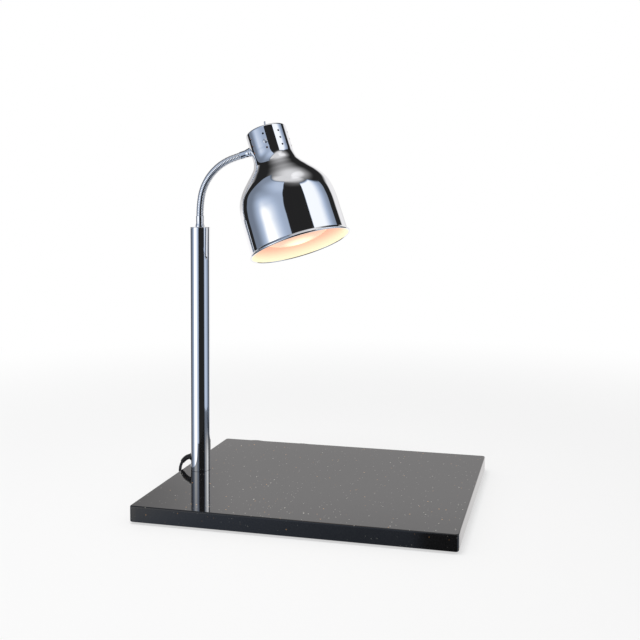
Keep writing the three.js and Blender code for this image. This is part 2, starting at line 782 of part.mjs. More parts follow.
// One length of the ribbed tube between two knuckles. The lower end cups the dome of the length
// below about their common centre; the upper end carries a dome of its own.
function flexRows(first, last, from, to) {
  const cup = knuckle.radius + gap;
  const bore = flex.boreRadius;
  const arc = (radius, heights) => heights.map((height) => [Math.sqrt(radius ** 2 - height ** 2), height]);
  const cupTop = Math.sqrt(cup ** 2 - bore ** 2);
  const start = first ? from : from + knuckle.skirtStart;
  const end = last ? to : to - knuckle.grooveDepth;
  const ribs = Math.round((end - start) / flex.ribPitch);
  const outer = [];
  for (let k = 0; k < ribs; k += 1) {
    const at = (share) => THREE.MathUtils.lerp(start, end, (k + share) / ribs);
    outer.push([at(k === 0 ? 0 : 0.1), flex.rootRadius], [at(0.5), flex.crestRadius]);
  }
  outer.push([end, flex.rootRadius]);
  const upperEnd = last
    ? [[end, flex.rootRadius, flex.seated], [end, bore, flex.seated]]
    : [
        [to, knuckle.radius, -knuckle.grooveDepth],
        ...arc(knuckle.radius, [0, knuckle.domeHeight / 2, knuckle.domeHeight]).map(([radius, height]) => [
          to, radius, height,
        ]),
        [to, bore, knuckle.domeHeight],
      ];
  const lowerEnd = first
    ? [[start, bore, -flex.seated], [start, flex.rootRadius, -flex.seated]]
    : arc(cup, [knuckle.skirtStart, cupTop / 2, cupTop])
        .toReversed()
        .map(([radius, height]) => [from, radius, height]);
  const middles = [0.7, 0.5, 0.3].map((share) => [THREE.MathUtils.lerp(from, to, share), bore]);
  return [...outer, ...upperEnd, ...middles, ...lowerEnd];
}

// The cable inside has a round end on each side of a knuckle's centre.
function flexCableRows(first, last, from, to) {
  const half = Math.SQRT1_2 * cordRadius;
  const dome = [[0, 0], [cordRadius - half, half], [cordRadius, cordRadius]];
  const start = first ? from : from + gap / 2;
  const end = last ? to : to - gap / 2;
  const lower = first
    ? [[start, 0, -ferrule.length], [start, cordRadius, -ferrule.length], [start, cordRadius]]
    : dome.map(([ahead, radius]) => [start, radius, ahead]);
  const upper = last
    ? [[end, cordRadius], [end, cordRadius, ferruleLength - gap], [end, 0, ferruleLength - gap]]
    : dome.toReversed().map(([behind, radius]) => [end, radius, -behind]);
  const middles = [0.35, 0.5, 0.65].map((share) => [THREE.MathUtils.lerp(from, to, share), cordRadius]);
  return [...lower, ...middles, ...upper];
}

for (let k = 0; k < flex.pieces; k += 1) {
  const [first, last] = [k === 0, k === flex.pieces - 1];
  const from = first ? 2 * gap : k * flexStep;
  const to = last ? flexLength - gap : (k + 1) * flexStep;
  piece(arm, `flex_${k + 1}`, bent(flexRows(first, last, from, to), armPlace, sides.arm), 'chrome');
  piece(arm, `flex_cable_${k + 1}`, bent(flexCableRows(first, last, from, to), armPlace, sides.cord), 'cordSheath');
}

// Upper ferrule and head. This group sits where the arm's centre line meets the neck's skin,
// +X along the arm.

const neckJoint = new THREE.Group();
neckJoint.position.copy(armPlace(armLength).centre);
neckJoint.rotation.y = radians(-bow.endRise);
arm.add(neckJoint);

const ferruleEnd = collar.thickness + 2 * gap;
piece(
  neckJoint,
  'upper_ferrule',
  ferruleGeometry(ferruleLength, stem.upperLength + ferruleEnd).rotateY(-Math.PI / 2).translate(-ferruleEnd, 0, 0),
  'chrome',
);

const neckInside = shade.neckRadius - shade.wall - gap;
const saddleFace = neckInside - saddle.thickness;
const nutFrom = shade.neckRadius - saddleFace + gap;
piece(
  neckJoint,
  'neck_lock_nut',
  hexNut(lockNut.across, stem.radius + gap, nutFrom, nutFrom + lockNut.height).rotateY(Math.PI / 2),
  'steel',
);

// Head: the origin is on the shade's axis, level with the ferrule; +Z runs up the shade

const head = new THREE.Group();
head.position.set(shade.neckRadius, 0, 0);
const headTilt = new THREE.Group();
headTilt.rotation.x = radians(-headTurn);
headTilt.add(head);
neckJoint.add(headTilt);

const ferruleDrop = vents.firstRow + vents.rowPitch; // the ferrule is level with the middle vents
const crown = ferruleDrop;
const rim = crown - shade.height;

function shadeGeometry() {
  const bellHeight = shade.height - shade.neckLength;
  const flare = shade.skirtRadius - shade.neckRadius;
  const spline = new THREE.SplineCurve(
    bellShares.map(([up, out]) => new THREE.Vector2(shade.neckRadius + out * flare, rim + up * bellHeight)),
  );
  const outer = [];
  const inner = [];
  for (let k = 0; k < bellRows; k += 1) {
    const share = k / (bellRows - 1);
    const point = spline.getPointAt(share);
    const along = spline.getTangentAt(share);
    outer.push([point.x, point.y]);
    inner.push([point.x - shade.wall * along.y, point.y + shade.wall * along.x]);
  }
  const beadRadius = shade.skirtRadius + bead.reach - bead.radius;
  const lip = [-150, -95, -40, 15, 70].map((angle) => [
    beadRadius + bead.radius * Math.cos(radians(angle)),
    rim + bead.radius * (1 + Math.sin(radians(angle))),
  ]);
  const edge = shade.crownEdge;
  const crownArc = (radius, shrink) => [0, 45, 90].map((angle) => [
    shade.neckRadius - edge + radius * Math.cos(radians(angle)),
    crown - edge + (radius - shrink) * Math.sin(radians(angle)),
  ]);
  const profile = [
    [0, crown],
    ...crownArc(edge, 0).toReversed(),
    ...outer.toReversed(),
    ...lip.toReversed(),
    ...inner,
    ...crownArc(edge - shade.wall, 0),
    [0, crown - shade.wall],
  ];
  const body = turned(profile, sides.shade);
  const outward = (azimuth, radius, z, both, count = sides.vent) => {
    const direction = new THREE.Vector3(Math.cos(radians(azimuth)), Math.sin(radians(azimuth)), 0);
    const reach = shade.neckRadius + overrun;
    return rodAlong(direction, radius, both ? -reach : shade.neckRadius / 2, reach, count).translate(0, 0, z);
  };
  const holes = [];
  for (const row of [-1, 0, 1]) {
    const z = row * vents.rowPitch;
    holes.push(outward(45, vents.radius, z, true));
    holes.push(outward(-45, vents.radius, z, true));
    holes.push(outward(0, vents.radius, z, false));
    if (row !== 0) holes.push(outward(90, vents.radius, z, true));
  }
  holes.push(outward(90, bracketScrew.radius + gap, crown - bracketScrew.drop, true));
  holes.push(outward(180, stem.radius + gap, 0, false, sides.medium));
  holes.push(rod(toggle.bushRadius + gap, crown - shade.wall - overrun, crown + overrun, sides.small));
  return cut(body, ...holes);
}

piece(head, 'shade', shadeGeometry(), 'chrome');

// Saddle pieces on each side of the neck's wall, shaped to it

const skin = shade.neckRadius + gap;
const stemClear = rodAlong(leftward, stem.radius + gap, 0, 2 * shade.neckRadius, sides.medium);
piece(
  head,
  'neck_collar',
  cut(
    rodAlong(leftward, collar.radius, shade.neckRadius / 2, skin + collar.thickness, sides.medium),
    rod(skin, -collar.radius - overrun, collar.radius + overrun, sides.shade * 2),
    stemClear,
  ),
  'chrome',
);

function saddleGeometry() {
  const blank = toManifold(rodAlong(leftward, saddle.radius, saddleFace, shade.neckRadius, sides.medium));
  const wallSide = toManifold(rod(neckInside, -saddle.radius - overrun, saddle.radius + overrun, sides.shade * 2));
  return fromManifold(blank.intersect(wallSide).subtract(toManifold(stemClear)));
}

piece(head, 'neck_saddle_washer', saddleGeometry(), 'steel');

// Bracket across the neck, its legs screwed to the wall

const bracketTop = crown - bracket.top;
const webBottom = bracketTop - bracket.sheet;
const legFace = Math.sqrt(neckInside ** 2 - (bracket.width / 2) ** 2) - gap;
const screwHeight = crown - bracketScrew.drop;
const holderBack = webBottom - gap;

function bracketGeometry() {
  const bottom = bracketTop - bracket.legLength;
  const inside = legFace - bracket.sheet;
  const outline = new THREE.Shape();
  outline.moveTo(-legFace, bottom);
  outline.lineTo(-inside, bottom);
  outline.lineTo(-inside, webBottom);
  outline.lineTo(inside, webBottom);
  outline.lineTo(inside, bottom);
  outline.lineTo(legFace, bottom);
  outline.lineTo(legFace, bracketTop - bracket.bend);
  outline.lineTo(legFace - bracket.bend, bracketTop);
  outline.lineTo(-legFace + bracket.bend, bracketTop);
  outline.lineTo(-legFace, bracketTop - bracket.bend);
  const strap = new THREE.ExtrudeGeometry(outline, { depth: bracket.width, bevelEnabled: false })
    .translate(0, 0, -bracket.width / 2)
    .rotateX(Math.PI / 2)
    .rotateZ(Math.PI / 2);
  const across = rodAlong(new THREE.Vector3(0, 1, 0), bracketScrew.radius + gap, -legFace - overrun,
    legFace + overrun, sides.small).translate(0, 0, screwHeight);
  const screwHoles = [-1, 1].map((sign) =>
    rod(holderScrew.radius + gap, webBottom - overrun, bracketTop + overrun, sides.small)
      .translate(0, (sign * holderScrew.spacing) / 2, 0),
  );
  return cut(strap, across, ...screwHoles);
}

piece(head, 'holder_bracket', bracketGeometry(), 'steel');

// A pan-head screw along Z, its head above zero and a slot across the head.
function panScrew({ radius, headRadius, headHeight, length, slot }, slots) {
  const shape = turned(
    [
      [0, -length],
      [radius, -length],
      [radius, 0],
      [headRadius, 0],
      [headRadius, headHeight / 2],
      [headRadius - headHeight / 2, headHeight],
      [0, headHeight],
    ],
    sides.small,
  );
  const depth = headHeight / 2;
  const tools = slots.map(([x, y]) => bar(x, y, headHeight, 0, 0, headHeight / 2 + depth));
  return cut(shape, ...tools);
}

const crossSlots = ({ headRadius, slot }) => [[headRadius, slot], [slot, headRadius]];

for (const [name, sign] of [['bracket_screw_1', -1], ['bracket_screw_2', 1]]) {
  const shape = panScrew(bracketScrew, crossSlots(bracketScrew)).rotateX((-sign * Math.PI) / 2);
  piece(head, name, shape, 'steel').position.set(0, sign * skin, screwHeight);
}

// Lampholder under the bracket: porcelain body, threaded shell, centre contact

const bulbTip = rim + bulb.inset + bulb.length;
const contactBottom = bulbTip + gap;
const contactStrip = contactBottom + holderContact.springRise;
const cavityTop = contactStrip + holderContact.thickness + gap;
const holderMouth = holderBack - holder.height;
const terminalX = wire.terminalSpread / 2;

function holderGeometry() {
  const body = turned(
    [
      [0, holderBack],
      [holder.radius - gap, holderBack],
      [holder.radius, holderBack - gap],
      [holder.radius, holderMouth + holder.lip],
      [holder.lipRadius, holderMouth + holder.lip - gap],
      [holder.lipRadius, holderMouth],
      [holder.cavityRadius, holderMouth],
      [holder.cavityRadius, cavityTop],
      [0, cavityTop],
    ],
    sides.large,
  );
  const screwDepth = holderBack - holderScrew.length;
  const screws = [-1, 1].map((sign) =>
    rod(holderScrew.radius + gap, screwDepth, holderBack + overrun, sides.small)
      .translate(0, (sign * holderScrew.spacing) / 2, 0),
  );
  const terminals = [-1, 1].map((sign) =>
    rod(wire.radius + gap, holderBack - wire.terminalDepth, holderBack + overrun, sides.small)
      .translate(sign * terminalX, 0, 0),
  );
  return cut(body, ...screws, ...terminals);
}

piece(head, 'lampholder_body', holderGeometry(), 'porcelain');

// Rolled thread rings between two heights, as [radius, height] pairs going up.
function threadRings(crest, depth, bottom, top, threads) {
  const rings = [];
  for (let k = 0; k < threads; k += 1) {
    rings.push([crest - depth, THREE.MathUtils.lerp(bottom, top, k / threads)]);
    rings.push([crest, THREE.MathUtils.lerp(bottom, top, (k + 0.5) / threads)]);
  }
  return [...rings, [crest - depth, top]];
}

function threadedSleeve(crest, depth, wall, bottom, top, threads) {
  const outer = threadRings(crest, depth, bottom, top, threads);
  const inner = outer.map(([radius, height]) => [radius - wall, height]).toReversed();
  return turned([...outer, ...inner, outer[0]], sides.medium);
}

const shellTop = cavityTop - (holderShell.radius - insulator.radius) - holderContact.thickness - 2 * gap;
piece(
  head,
  'lampholder_shell',
  threadedSleeve(
    holderShell.radius,
    holderShell.threadDepth,
    holderShell.wall,
    shellTop - holderShell.length,
    shellTop,
    holderShell.threads,
  ),
  'brass',
);

function contactGeometry() {
  const strip = bar(
    holderContact.length, holderContact.width, holderContact.thickness,
    0, 0, contactStrip + holderContact.thickness / 2,
  );
  const knob = rod(tip.radius / 2, contactBottom, contactStrip + holderContact.thickness / 2, sides.small);
  return join(strip, knob);
}

piece(head, 'lampholder_contact', contactGeometry(), 'brass');

for (const [name, sign] of [['holder_screw_1', -1], ['holder_screw_2', 1]]) {
  const shape = panScrew(
    { ...holderScrew, length: holderScrew.length + bracket.sheet },
    [[2 * holderScrew.headRadius + overrun, holderScrew.slot]],
  );
  piece(head, name, shape, 'steel').position.set(0, (sign * holderScrew.spacing) / 2, bracketTop + gap);
}

// Reflector bulb: glass open at its neck, stem, filament, threaded cap, insulator and contact

const capTop = bulbTip - tip.height - insulator.height;
const capBottom = capTop - cap.length;
const faceHeight = rim + bulb.inset;
const glassHeight = capBottom - faceHeight;
const glassTop = capBottom + bulb.seated;

function bulbGeometry() {
  const spline = new THREE.SplineCurve(
    bulbShares.map(([up, out]) => new THREE.Vector2(out * bulb.radius, faceHeight + up * glassHeight)),
  );
  const outer = [];
  const inner = [];
  for (let k = 0; k < bulbRows; k += 1) {
    const point = spline.getPointAt(k / (bulbRows - 1));
    const along = spline.getTangentAt(k / (bulbRows - 1));
    outer.push([k === 0 ? 0 : point.x, point.y]);
    const inside = point.x - bulb.glass * along.y;
    inner.push([k === 0 ? 0 : inside, point.y + bulb.glass * (k === 0 ? 1 : along.x)]);
  }
  const neck = [[bulb.neckRadius, capBottom - gap], [bulb.neckRadius, glassTop]];
  const bore = bulb.neckRadius - bulb.glass;
  return turned([...outer, ...neck, [bore, glassTop], [bore, capBottom - gap], ...inner.toReversed()], sides.bulb);
}

piece(head, 'bulb_glass', bulbGeometry(), 'glass');

piece(head, 'bulb_cap', threadedSleeve(cap.radius, cap.threadDepth, cap.wall, capBottom, capTop, cap.threads), 'brass');

const insulatorBottom = capTop + gap;
const insulatorTop = bulbTip - tip.height - gap;
piece(
  head,
  'bulb_cap_insulator',
  turned(
    [
      [0, insulatorBottom],
      [insulator.radius, insulatorBottom],
      [tip.radius + gap, insulatorTop],
      [0, insulatorTop],
    ],
    sides.medium,
  ),
  'plastic',
);
piece(head, 'bulb_contact', rod(tip.radius, bulbTip - tip.height, bulbTip, sides.medium), 'brass');

const pinchBottom = glassTop - glassStem.length;
piece(
  head,
  'bulb_stem',
  turned(
    [
      [0, pinchBottom],
      [glassStem.pinchRadius, pinchBottom],
      [glassStem.pinchRadius, glassTop - glassStem.flare],
      [glassStem.radius, glassTop - gap],
      [glassStem.radius, glassTop],
      [0, glassTop],
    ],
    sides.small,
  ),
  'glass',
);

// The filament: two legs from the stem and an open ring between them.
function filamentGeometry() {
  const top = pinchBottom - 2 * gap;
  const ringHeight = top - filament.drop;
  const half = filament.legSpacing / 2;
  const legs = [[half, 0, top], [half, -filament.ringRadius / 2, top - filament.drop / 2]];
  const points = [...legs];
  const steps = 12;
  for (let k = 0; k <= steps; k += 1) {
    const angle = radians(-90 + filament.openAngle / 2 + ((360 - filament.openAngle) * k) / steps);
    points.push([filament.ringRadius * Math.cos(angle), filament.ringRadius * Math.sin(angle), ringHeight]);
  }
  points.push(...legs.toReversed().map(([x, y, z]) => [-x, y, z]));
  return cord(smooth(points), filament.wireRadius, 2.5 * filament.legSpacing / 2, sides.hank);
}

piece(head, 'filament', filamentGeometry(), 'filamentWire');

// Toggle switch through the closed top

const toggleTop = crown - shade.wall - 2 * gap;
const toggleBottom = toggleTop - toggle.height;
const bushTop = crown + toggle.bushRise;
const pivotHeight = crown + lever.pivotRise;
piece(
  head,
  'switch_body',
  bar(toggle.length, toggle.width, toggle.height, 0, 0, toggleTop - toggle.height / 2),
  'plastic',
);
piece(head, 'switch_bush', tube(toggle.bushRadius, toggle.boreRadius, toggleTop + gap, bushTop, sides.medium), 'chrome');
piece(
  head,
  'switch_nut',
  hexNut(toggleNut.across, toggle.bushRadius + gap, crown + gap, crown + gap + toggleNut.height),
  'chrome',
);

function leverGeometry() {
  const round = lever.ballRadius;
  const end = lever.tipRadius;
  return turned(
    [
      [0, -round],
      [round * Math.SQRT1_2, -round * Math.SQRT1_2],
      [round, 0],
      [lever.rootRadius, Math.sqrt(round ** 2 - lever.rootRadius ** 2)],
      [end, lever.length - end],
      [end * Math.SQRT1_2, lever.length - end * (1 - Math.SQRT1_2)],
      [0, lever.length],
    ],
    sides.small,
  );
}

const leverMesh = piece(head, 'switch_lever', leverGeometry(), 'chrome');
leverMesh.position.set(0, 0, pivotHeight);
leverMesh.rotation.y = radians(lever.tilt);

const tagTop = toggleBottom - gap;
for (const [name, sign] of [['switch_tag_1', -1], ['switch_tag_2', 1]]) {
  const shape = bar(tag.thickness, tag.width, tag.length, 0, 0, tagTop - tag.length / 2);
  piece(head, name, shape, 'brass').position.set((sign * tag.spacing) / 2, 0, 0);
}

// Wires: two cores from the arm, and the switched core back to the lampholder

const stemMouth = shade.neckRadius - stem.upperLength;
const riser = (stemMouth + holder.radius) / 2;
const side = wire.spacing / 2;
const apart = wire.apart / 2;
const wireStart = shade.neckRadius + ferruleEnd;
const tagHeight = tagTop - tag.length / 2;
const tagFace = tag.spacing / 2 + tag.thickness / 2 + gap;
const terminalEnd = holderBack - wire.terminalDepth + gap;
const arch = 3 * wire.radius;

const terminalDrop = (sign) => [
  [sign * (terminalX + arch / 3), 0, holderBack + arch],
  [sign * terminalX, 0, holderBack + gap],
  [sign * terminalX, 0, terminalEnd],
];

const risers = (sign, top) => [
  [-wireStart, sign * side, 0],
  [-stemMouth, sign * side, 0],
  [-riser, sign * apart, arch],
  [-riser, sign * apart, top],
];

const wires = {
  wire_neutral: [
    'wireBlue',
    [...risers(-1, holderBack), [-(riser + terminalX) / 2, -apart / 2, holderBack + 1.6 * arch], ...terminalDrop(-1)],
  ],
  wire_live: [
    'wireRed',
    [
      ...risers(1, holderBack),
      [-(riser + holder.radius) / 2, apart, tagHeight - arch],
      [-holder.radius / 1.4, apart / 2, tagHeight],
      [-tagFace, 0, tagHeight],
    ],
  ],
  wire_switched: [
    'wireRed',
    [[tagFace, 0, tagHeight], [(tagFace + terminalX) / 2, 0, tagHeight], ...terminalDrop(1)],
  ],
};

for (const [name, [finish, points]] of Object.entries(wires)) {
  piece(head, name, cord(smooth(points), wire.radius, 2.4 * wire.radius, sides.hank), finish);
}

export default lamp;
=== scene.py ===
"""Food heat lamp on a polished stone base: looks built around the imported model."""

import json
import math

import bmesh
import bpy
import numpy as np
from bpy.props import FloatProperty, FloatVectorProperty, PointerProperty
from mathutils import Matrix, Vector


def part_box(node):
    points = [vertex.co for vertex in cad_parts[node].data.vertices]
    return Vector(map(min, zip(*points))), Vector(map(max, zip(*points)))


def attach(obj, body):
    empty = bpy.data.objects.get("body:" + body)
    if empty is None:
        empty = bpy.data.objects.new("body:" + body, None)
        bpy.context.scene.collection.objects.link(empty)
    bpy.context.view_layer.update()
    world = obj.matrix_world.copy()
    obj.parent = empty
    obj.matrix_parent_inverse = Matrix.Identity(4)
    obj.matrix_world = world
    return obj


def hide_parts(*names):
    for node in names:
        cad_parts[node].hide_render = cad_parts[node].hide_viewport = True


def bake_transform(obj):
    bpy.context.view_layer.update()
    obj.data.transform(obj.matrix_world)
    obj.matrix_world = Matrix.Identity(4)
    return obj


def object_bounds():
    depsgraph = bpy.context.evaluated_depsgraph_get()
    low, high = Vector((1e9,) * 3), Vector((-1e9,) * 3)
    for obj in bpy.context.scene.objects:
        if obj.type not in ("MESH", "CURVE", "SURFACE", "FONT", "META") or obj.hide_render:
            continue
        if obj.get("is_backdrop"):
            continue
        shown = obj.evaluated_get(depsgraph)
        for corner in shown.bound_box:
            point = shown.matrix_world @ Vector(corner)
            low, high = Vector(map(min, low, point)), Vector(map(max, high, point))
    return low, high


bl_info = {
    "name": "Food Heat Lamp",
    "version": (1, 0, 0),
    "blender": (4, 5, 0),
    "location": "3D View > Sidebar > Heat Lamp",
    "description": "Builds the pieces and finishes of a food heat lamp round its frame",
    "category": "Add Mesh",
}

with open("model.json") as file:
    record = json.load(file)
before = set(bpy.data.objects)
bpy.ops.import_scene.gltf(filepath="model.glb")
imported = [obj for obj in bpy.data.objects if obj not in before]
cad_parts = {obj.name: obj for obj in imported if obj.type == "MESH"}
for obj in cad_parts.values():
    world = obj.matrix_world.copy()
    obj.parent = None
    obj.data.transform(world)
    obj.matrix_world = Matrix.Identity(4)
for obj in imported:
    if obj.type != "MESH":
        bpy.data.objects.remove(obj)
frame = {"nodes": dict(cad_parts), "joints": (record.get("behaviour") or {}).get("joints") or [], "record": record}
CAD_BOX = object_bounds()
MM = 0.001


def joint(name):
    """The frame's joint of that name."""
    return next(j for j in frame["joints"] if j["name"] == name)


def low(node):
    """Lowest corner of a frame node."""
    return np.array(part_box(node)[0])


def high(node):
    """Highest corner of a frame node."""
    return np.array(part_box(node)[1])


# Places and sizes read from the frame, in metres

SLAB_LOW, SLAB_HIGH = low("base_slab"), high("base_slab")
SLAB_TOP = SLAB_HIGH[2]
SLAB_CORNER = 5 * MM
POST_AXIS = np.array(joint("arm_swivel")["pos_m"])
POST_RADIUS = (high("post_top_cap") - low("post_top_cap"))[0] / 2
POST_TOP = high("post_top_cap")[2]
ARM_SIDE = np.array(joint("bend_1")["axis"])
ARM_OUT = np.cross(ARM_SIDE, [0, 0, 1])
NECK_ENTRY = np.array(joint("head_swivel")["pos_m"])
ALONG_FERRULE = np.array(joint("head_swivel")["axis"])
TOGGLE_PIVOT = np.array(joint("switch_toggle")["pos_m"])
HEAD_SIDE = -np.array(joint("switch_toggle")["axis"])
HEAD_UP = np.cross(ALONG_FERRULE, HEAD_SIDE)

# Gap between parts that touch on the real lamp, and the bore that takes the arm's stems
FIT_GAP = 0.3 * MM
ARM_BORE = 5.3 * MM

# Arm's centre line, from the lower ferrule's end: a slight lean, a bow, and a straight end
LEAN_RADIUS = 200 * MM
LEAN_ANGLE = math.radians(9)
BOW_RADIUS = 84 * MM
END_RISE = math.radians(19)
STRAIGHT_END = 32.2 * MM
FERRULE_LENGTH = 19 * MM
LOWER_STEM = 16 * MM
UPPER_STEM = 10.5 * MM
UPPER_FERRULE_GAP = 2.6 * MM
LEAN_LENGTH = LEAN_RADIUS * LEAN_ANGLE
BOW_LENGTH = BOW_RADIUS * (math.pi / 2 - LEAN_ANGLE - END_RISE)
FLEX_PIECES = 5
FLEX_LENGTH = LEAN_LENGTH + BOW_LENGTH + STRAIGHT_END - FERRULE_LENGTH
FLEX_STEP = FLEX_LENGTH / FLEX_PIECES
FLEX_CORE = 5.9 * MM
FLEX_BORE = 3.5 * MM
FLEX_SEATED = 10.4 * MM
HINGE_REACH = 9 * MM

# Shade: heights are above the ferrule's axis, along the shade's own axis
NECK_RADIUS = 34.9 * MM
SKIRT_RADIUS = 82.3 * MM
SHADE_HEIGHT = 208.5 * MM
NECK_LENGTH = 51.5 * MM
WALL = 1 * MM
CROWN = 26.9 * MM
RIM = CROWN - SHADE_HEIGHT
CROWN_EDGE = 3 * MM
BEAD_RADIUS = 1.7 * MM
BEAD_REACH = 3.3 * MM
BUSH_HOLE = 3.3 * MM
SCREW_HOLE = 2.3 * MM
VENT_RADIUS = 1.8 * MM
VENT_PITCH = 12.5 * MM
VENT_ROWS = 11
SCREW_HEIGHT = CROWN - 28.1 * MM
BELL_SHARES = np.array([
    (0.038, 1), (0.254, 0.995), (0.42, 0.988), (0.522, 0.955), (0.618, 0.872), (0.707, 0.706),
    (0.796, 0.465), (0.873, 0.24), (0.936, 0.084), (1, 0.015), (1.1, 0),
])

# Bulb and switch lever
BULB_RADIUS = 62.5 * MM
BULB_NECK = 11.6 * MM
BULB_SHARES = np.array([
    (0, 0), (0.013, 0.3), (0.044, 0.62), (0.092, 0.86), (0.15, 0.975), (0.213, 1), (0.3, 0.968),
    (0.42, 0.83), (0.54, 0.66), (0.66, 0.49), (0.76, 0.36), (0.85, 0.275), (0.93, 0.235),
])
LEVER_TILT = math.radians(12)

# Mains lead: a two-core cord 1.8 m long
CORD_DIAMETER = 5 * MM
CORD_RADIUS = CORD_DIAMETER / 2
CORD_REST = CORD_RADIUS + 0.1 * MM
LEAD_STEP = 2 * MM
LEAD_HEIGHT = SLAB_TOP + 20.5 * MM
LEAD_EXIT_X = POST_AXIS[0] - POST_RADIUS
LEAD_X = SLAB_LOW[0] - 14.4 * MM
LEAD_SETTLE = 43 * MM
LEAD_CORNER = 22 * MM
LEAD_JOIN = 0.3 * MM
HANK_BEND = 15 * MM
HANK_STRAIGHT = 98 * MM
HANK_PITCH = 5.8 * MM
HANK_LOOPS = 2
HANK_WAIST = 12 * MM
HANK_LIFT = 0.9 * MM
HANK_GAP = 8 * MM
HANK_TAIL = 92 * MM
HANK_TAIL_BEND = 55.6 * MM
HANK_TAIL_DROP = 36 * MM
RUN_SHARE = 1 / 6
FROM_BACK = 4 * MM
PLUG_WIDTH = 35 * MM
PLUG_HEIGHT = 13.6 * MM
LEAD_FALL_SHARES = np.array([
    (-0.3, 0.019, 0), (0, 0.021, 0), (0.1, 0.027, 0.005), (0.195, 0.033, 0.017),
    (0.39, 0.058, 0.078), (0.589, 0.095, 0.191), (0.76, 0.144, 0.35), (0.877, 0.214, 0.537),
    (0.955, 0.333, 0.72), (0.993, 0.512, 0.87), (1, 0.733, 0.958), (1, 1, 0.994), (1, 1.35, 1),
])

# Hank behind the base: where its runs lie, and how far the lead winds before it leaves for the plug
HANK_FRONT_Y = SLAB_HIGH[1] + FROM_BACK + CORD_RADIUS
CORNER_Y = HANK_FRONT_Y - LEAD_CORNER
OUTER_BEND = HANK_BEND + HANK_LOOPS * HANK_PITCH
HANK_LEFT = LEAD_X + LEAD_CORNER + OUTER_BEND + HANK_GAP
HANK_BASE = CORD_RADIUS + HANK_LIFT
HANK_X = HANK_LEFT + HANK_STRAIGHT / 2
HANK_Y = HANK_FRONT_Y + OUTER_BEND
HANK_TURNS = 2 * HANK_LOOPS
HANK_END = HANK_TURNS + RUN_SHARE + HANK_TAIL * RUN_SHARE / HANK_STRAIGHT
PLUG_Y = SLAB_HIGH[1] + FROM_BACK + PLUG_WIDTH / 2
PLUG_Z = PLUG_HEIGHT / 2

# Camera, as fitted to the photograph: focal length in image widths, optical centre as a shift
CAMERA_PLACE = (0.39578, -1.43677, 0.49162)
CAMERA_YAW = math.radians(-13.549)
CAMERA_PITCH = math.radians(1.781)
CAMERA_ROLL = math.radians(0.124)
FOCAL_WIDTHS = 902.34 / 640
CAMERA_SHIFT = (-32.56 / 640, -91.86 / 640)
CAMERA_RANGE = (0.05, 60)

# Stage: light levels, and the floor's distances over which it goes over to white
WORLD_LIGHT = 0.4
LAMP_WATTS = 40
LAMP_SIZE = 1.4
LAMP_PLACE = (-0.3, -0.5, 2.6)
FLOOR_LIFT = 0.6
FLOOR_FADE = (0.5, 1.8)

# Studio seen in the chrome: azimuths in degrees from -Y towards +X, heights in degrees
TENT_RADIUS = 2.2
TENT_HEIGHT = 0.5
LEFT_BOX = (-96, -2.5)
LEFT_MIDDLE = -42
RIGHT_BOX = (55, 129)
RIGHT_SLOPE = 0.45
RIGHT_FOOT = (68, 131)
FOOT_TOP = (12, 16)
BACKDROP = (150, -114)
BOX_TOP = 56
TENT_DARK = 0.02
COOL_WHITE = (0.66, 0.78, 1.0)
WARM_WHITE = (1, 0.98, 0.98)


# Sizes and colours that a user would change


class HeatLampSizes(bpy.types.PropertyGroup):
    """Sizes of the lamp's fine detail and of the floor"""

    edge_round: FloatProperty(
        name="Stone edge", description="Radius of the stone's eased edges",
        default=2 * MM, min=0.5 * MM, max=6 * MM, unit="LENGTH",
    )
    rib_pitch: FloatProperty(
        name="Rib pitch", description="Distance between the ribs of the flexible arm",
        default=2.71 * MM, min=1.5 * MM, max=5 * MM, unit="LENGTH",
    )
    rib_depth: FloatProperty(
        name="Rib depth", description="Height of the flexible arm's ribs",
        default=0.45 * MM, min=0.1 * MM, max=1 * MM, unit="LENGTH",
    )
    fleck_size: FloatProperty(
        name="Fleck size", description="Spacing of the stone's flecks",
        default=4.2 * MM, min=1 * MM, max=20 * MM, unit="LENGTH",
    )
    floor_radius: FloatProperty(
        name="Floor radius", description="Radius of the plain floor",
        default=8, min=2, max=20, unit="LENGTH",
    )


def colour(name, description, default):
    """A colour property."""
    return FloatVectorProperty(
        name=name, description=description, default=default, size=3, min=0, max=1, subtype="COLOR"
    )


class HeatLampColours(bpy.types.PropertyGroup):
    """Colours of the lamp's finishes and of the floor"""

    stone: colour("Stone", "Ground colour of the polished stone", (0.006, 0.006, 0.0065))
    fleck_pale: colour("Pale flecks", "Colour of the pale flecks", (0.80, 0.77, 0.70))
    fleck_gold: colour("Gold flecks", "Colour of the warm flecks", (0.85, 0.45, 0.16))
    chrome: colour("Chrome", "Tint of the chrome plate", (0.88, 0.90, 0.93))
    reflector: colour("Reflector", "Inside of the shade", (0.25, 0.24, 0.22))
    glow: colour("Glow", "Light of the bulb", (1.0, 0.62, 0.30))
    rubber: colour("Rubber", "Feet and cord sleeve", (0.016, 0.016, 0.017))
    sheath: colour("Lead", "Sheath of the mains lead", (0.013, 0.013, 0.014))
    porcelain: colour("Porcelain", "Lampholder body", (0.82, 0.80, 0.75))
    brass: colour("Brass", "Bulb cap and contacts", (0.68, 0.50, 0.22))
    zinc: colour("Zinc", "Plated nuts, washers and bracket", (0.50, 0.51, 0.53))
    floor: colour("Floor", "Floor and backdrop", (0.94, 0.94, 0.94))


# Points and curves


def joined(*columns):
    """Points from arrays of their coordinates, spread to one shape."""
    return np.stack(np.broadcast_arrays(*columns), -1)


def on_circle(angles):
    """Points of the unit circle at angles."""
    return joined(np.cos(angles), np.sin(angles))


def around(sides):
    """That many angles round a circle."""
    return np.linspace(0, 2 * math.pi, sides, endpoint=False)


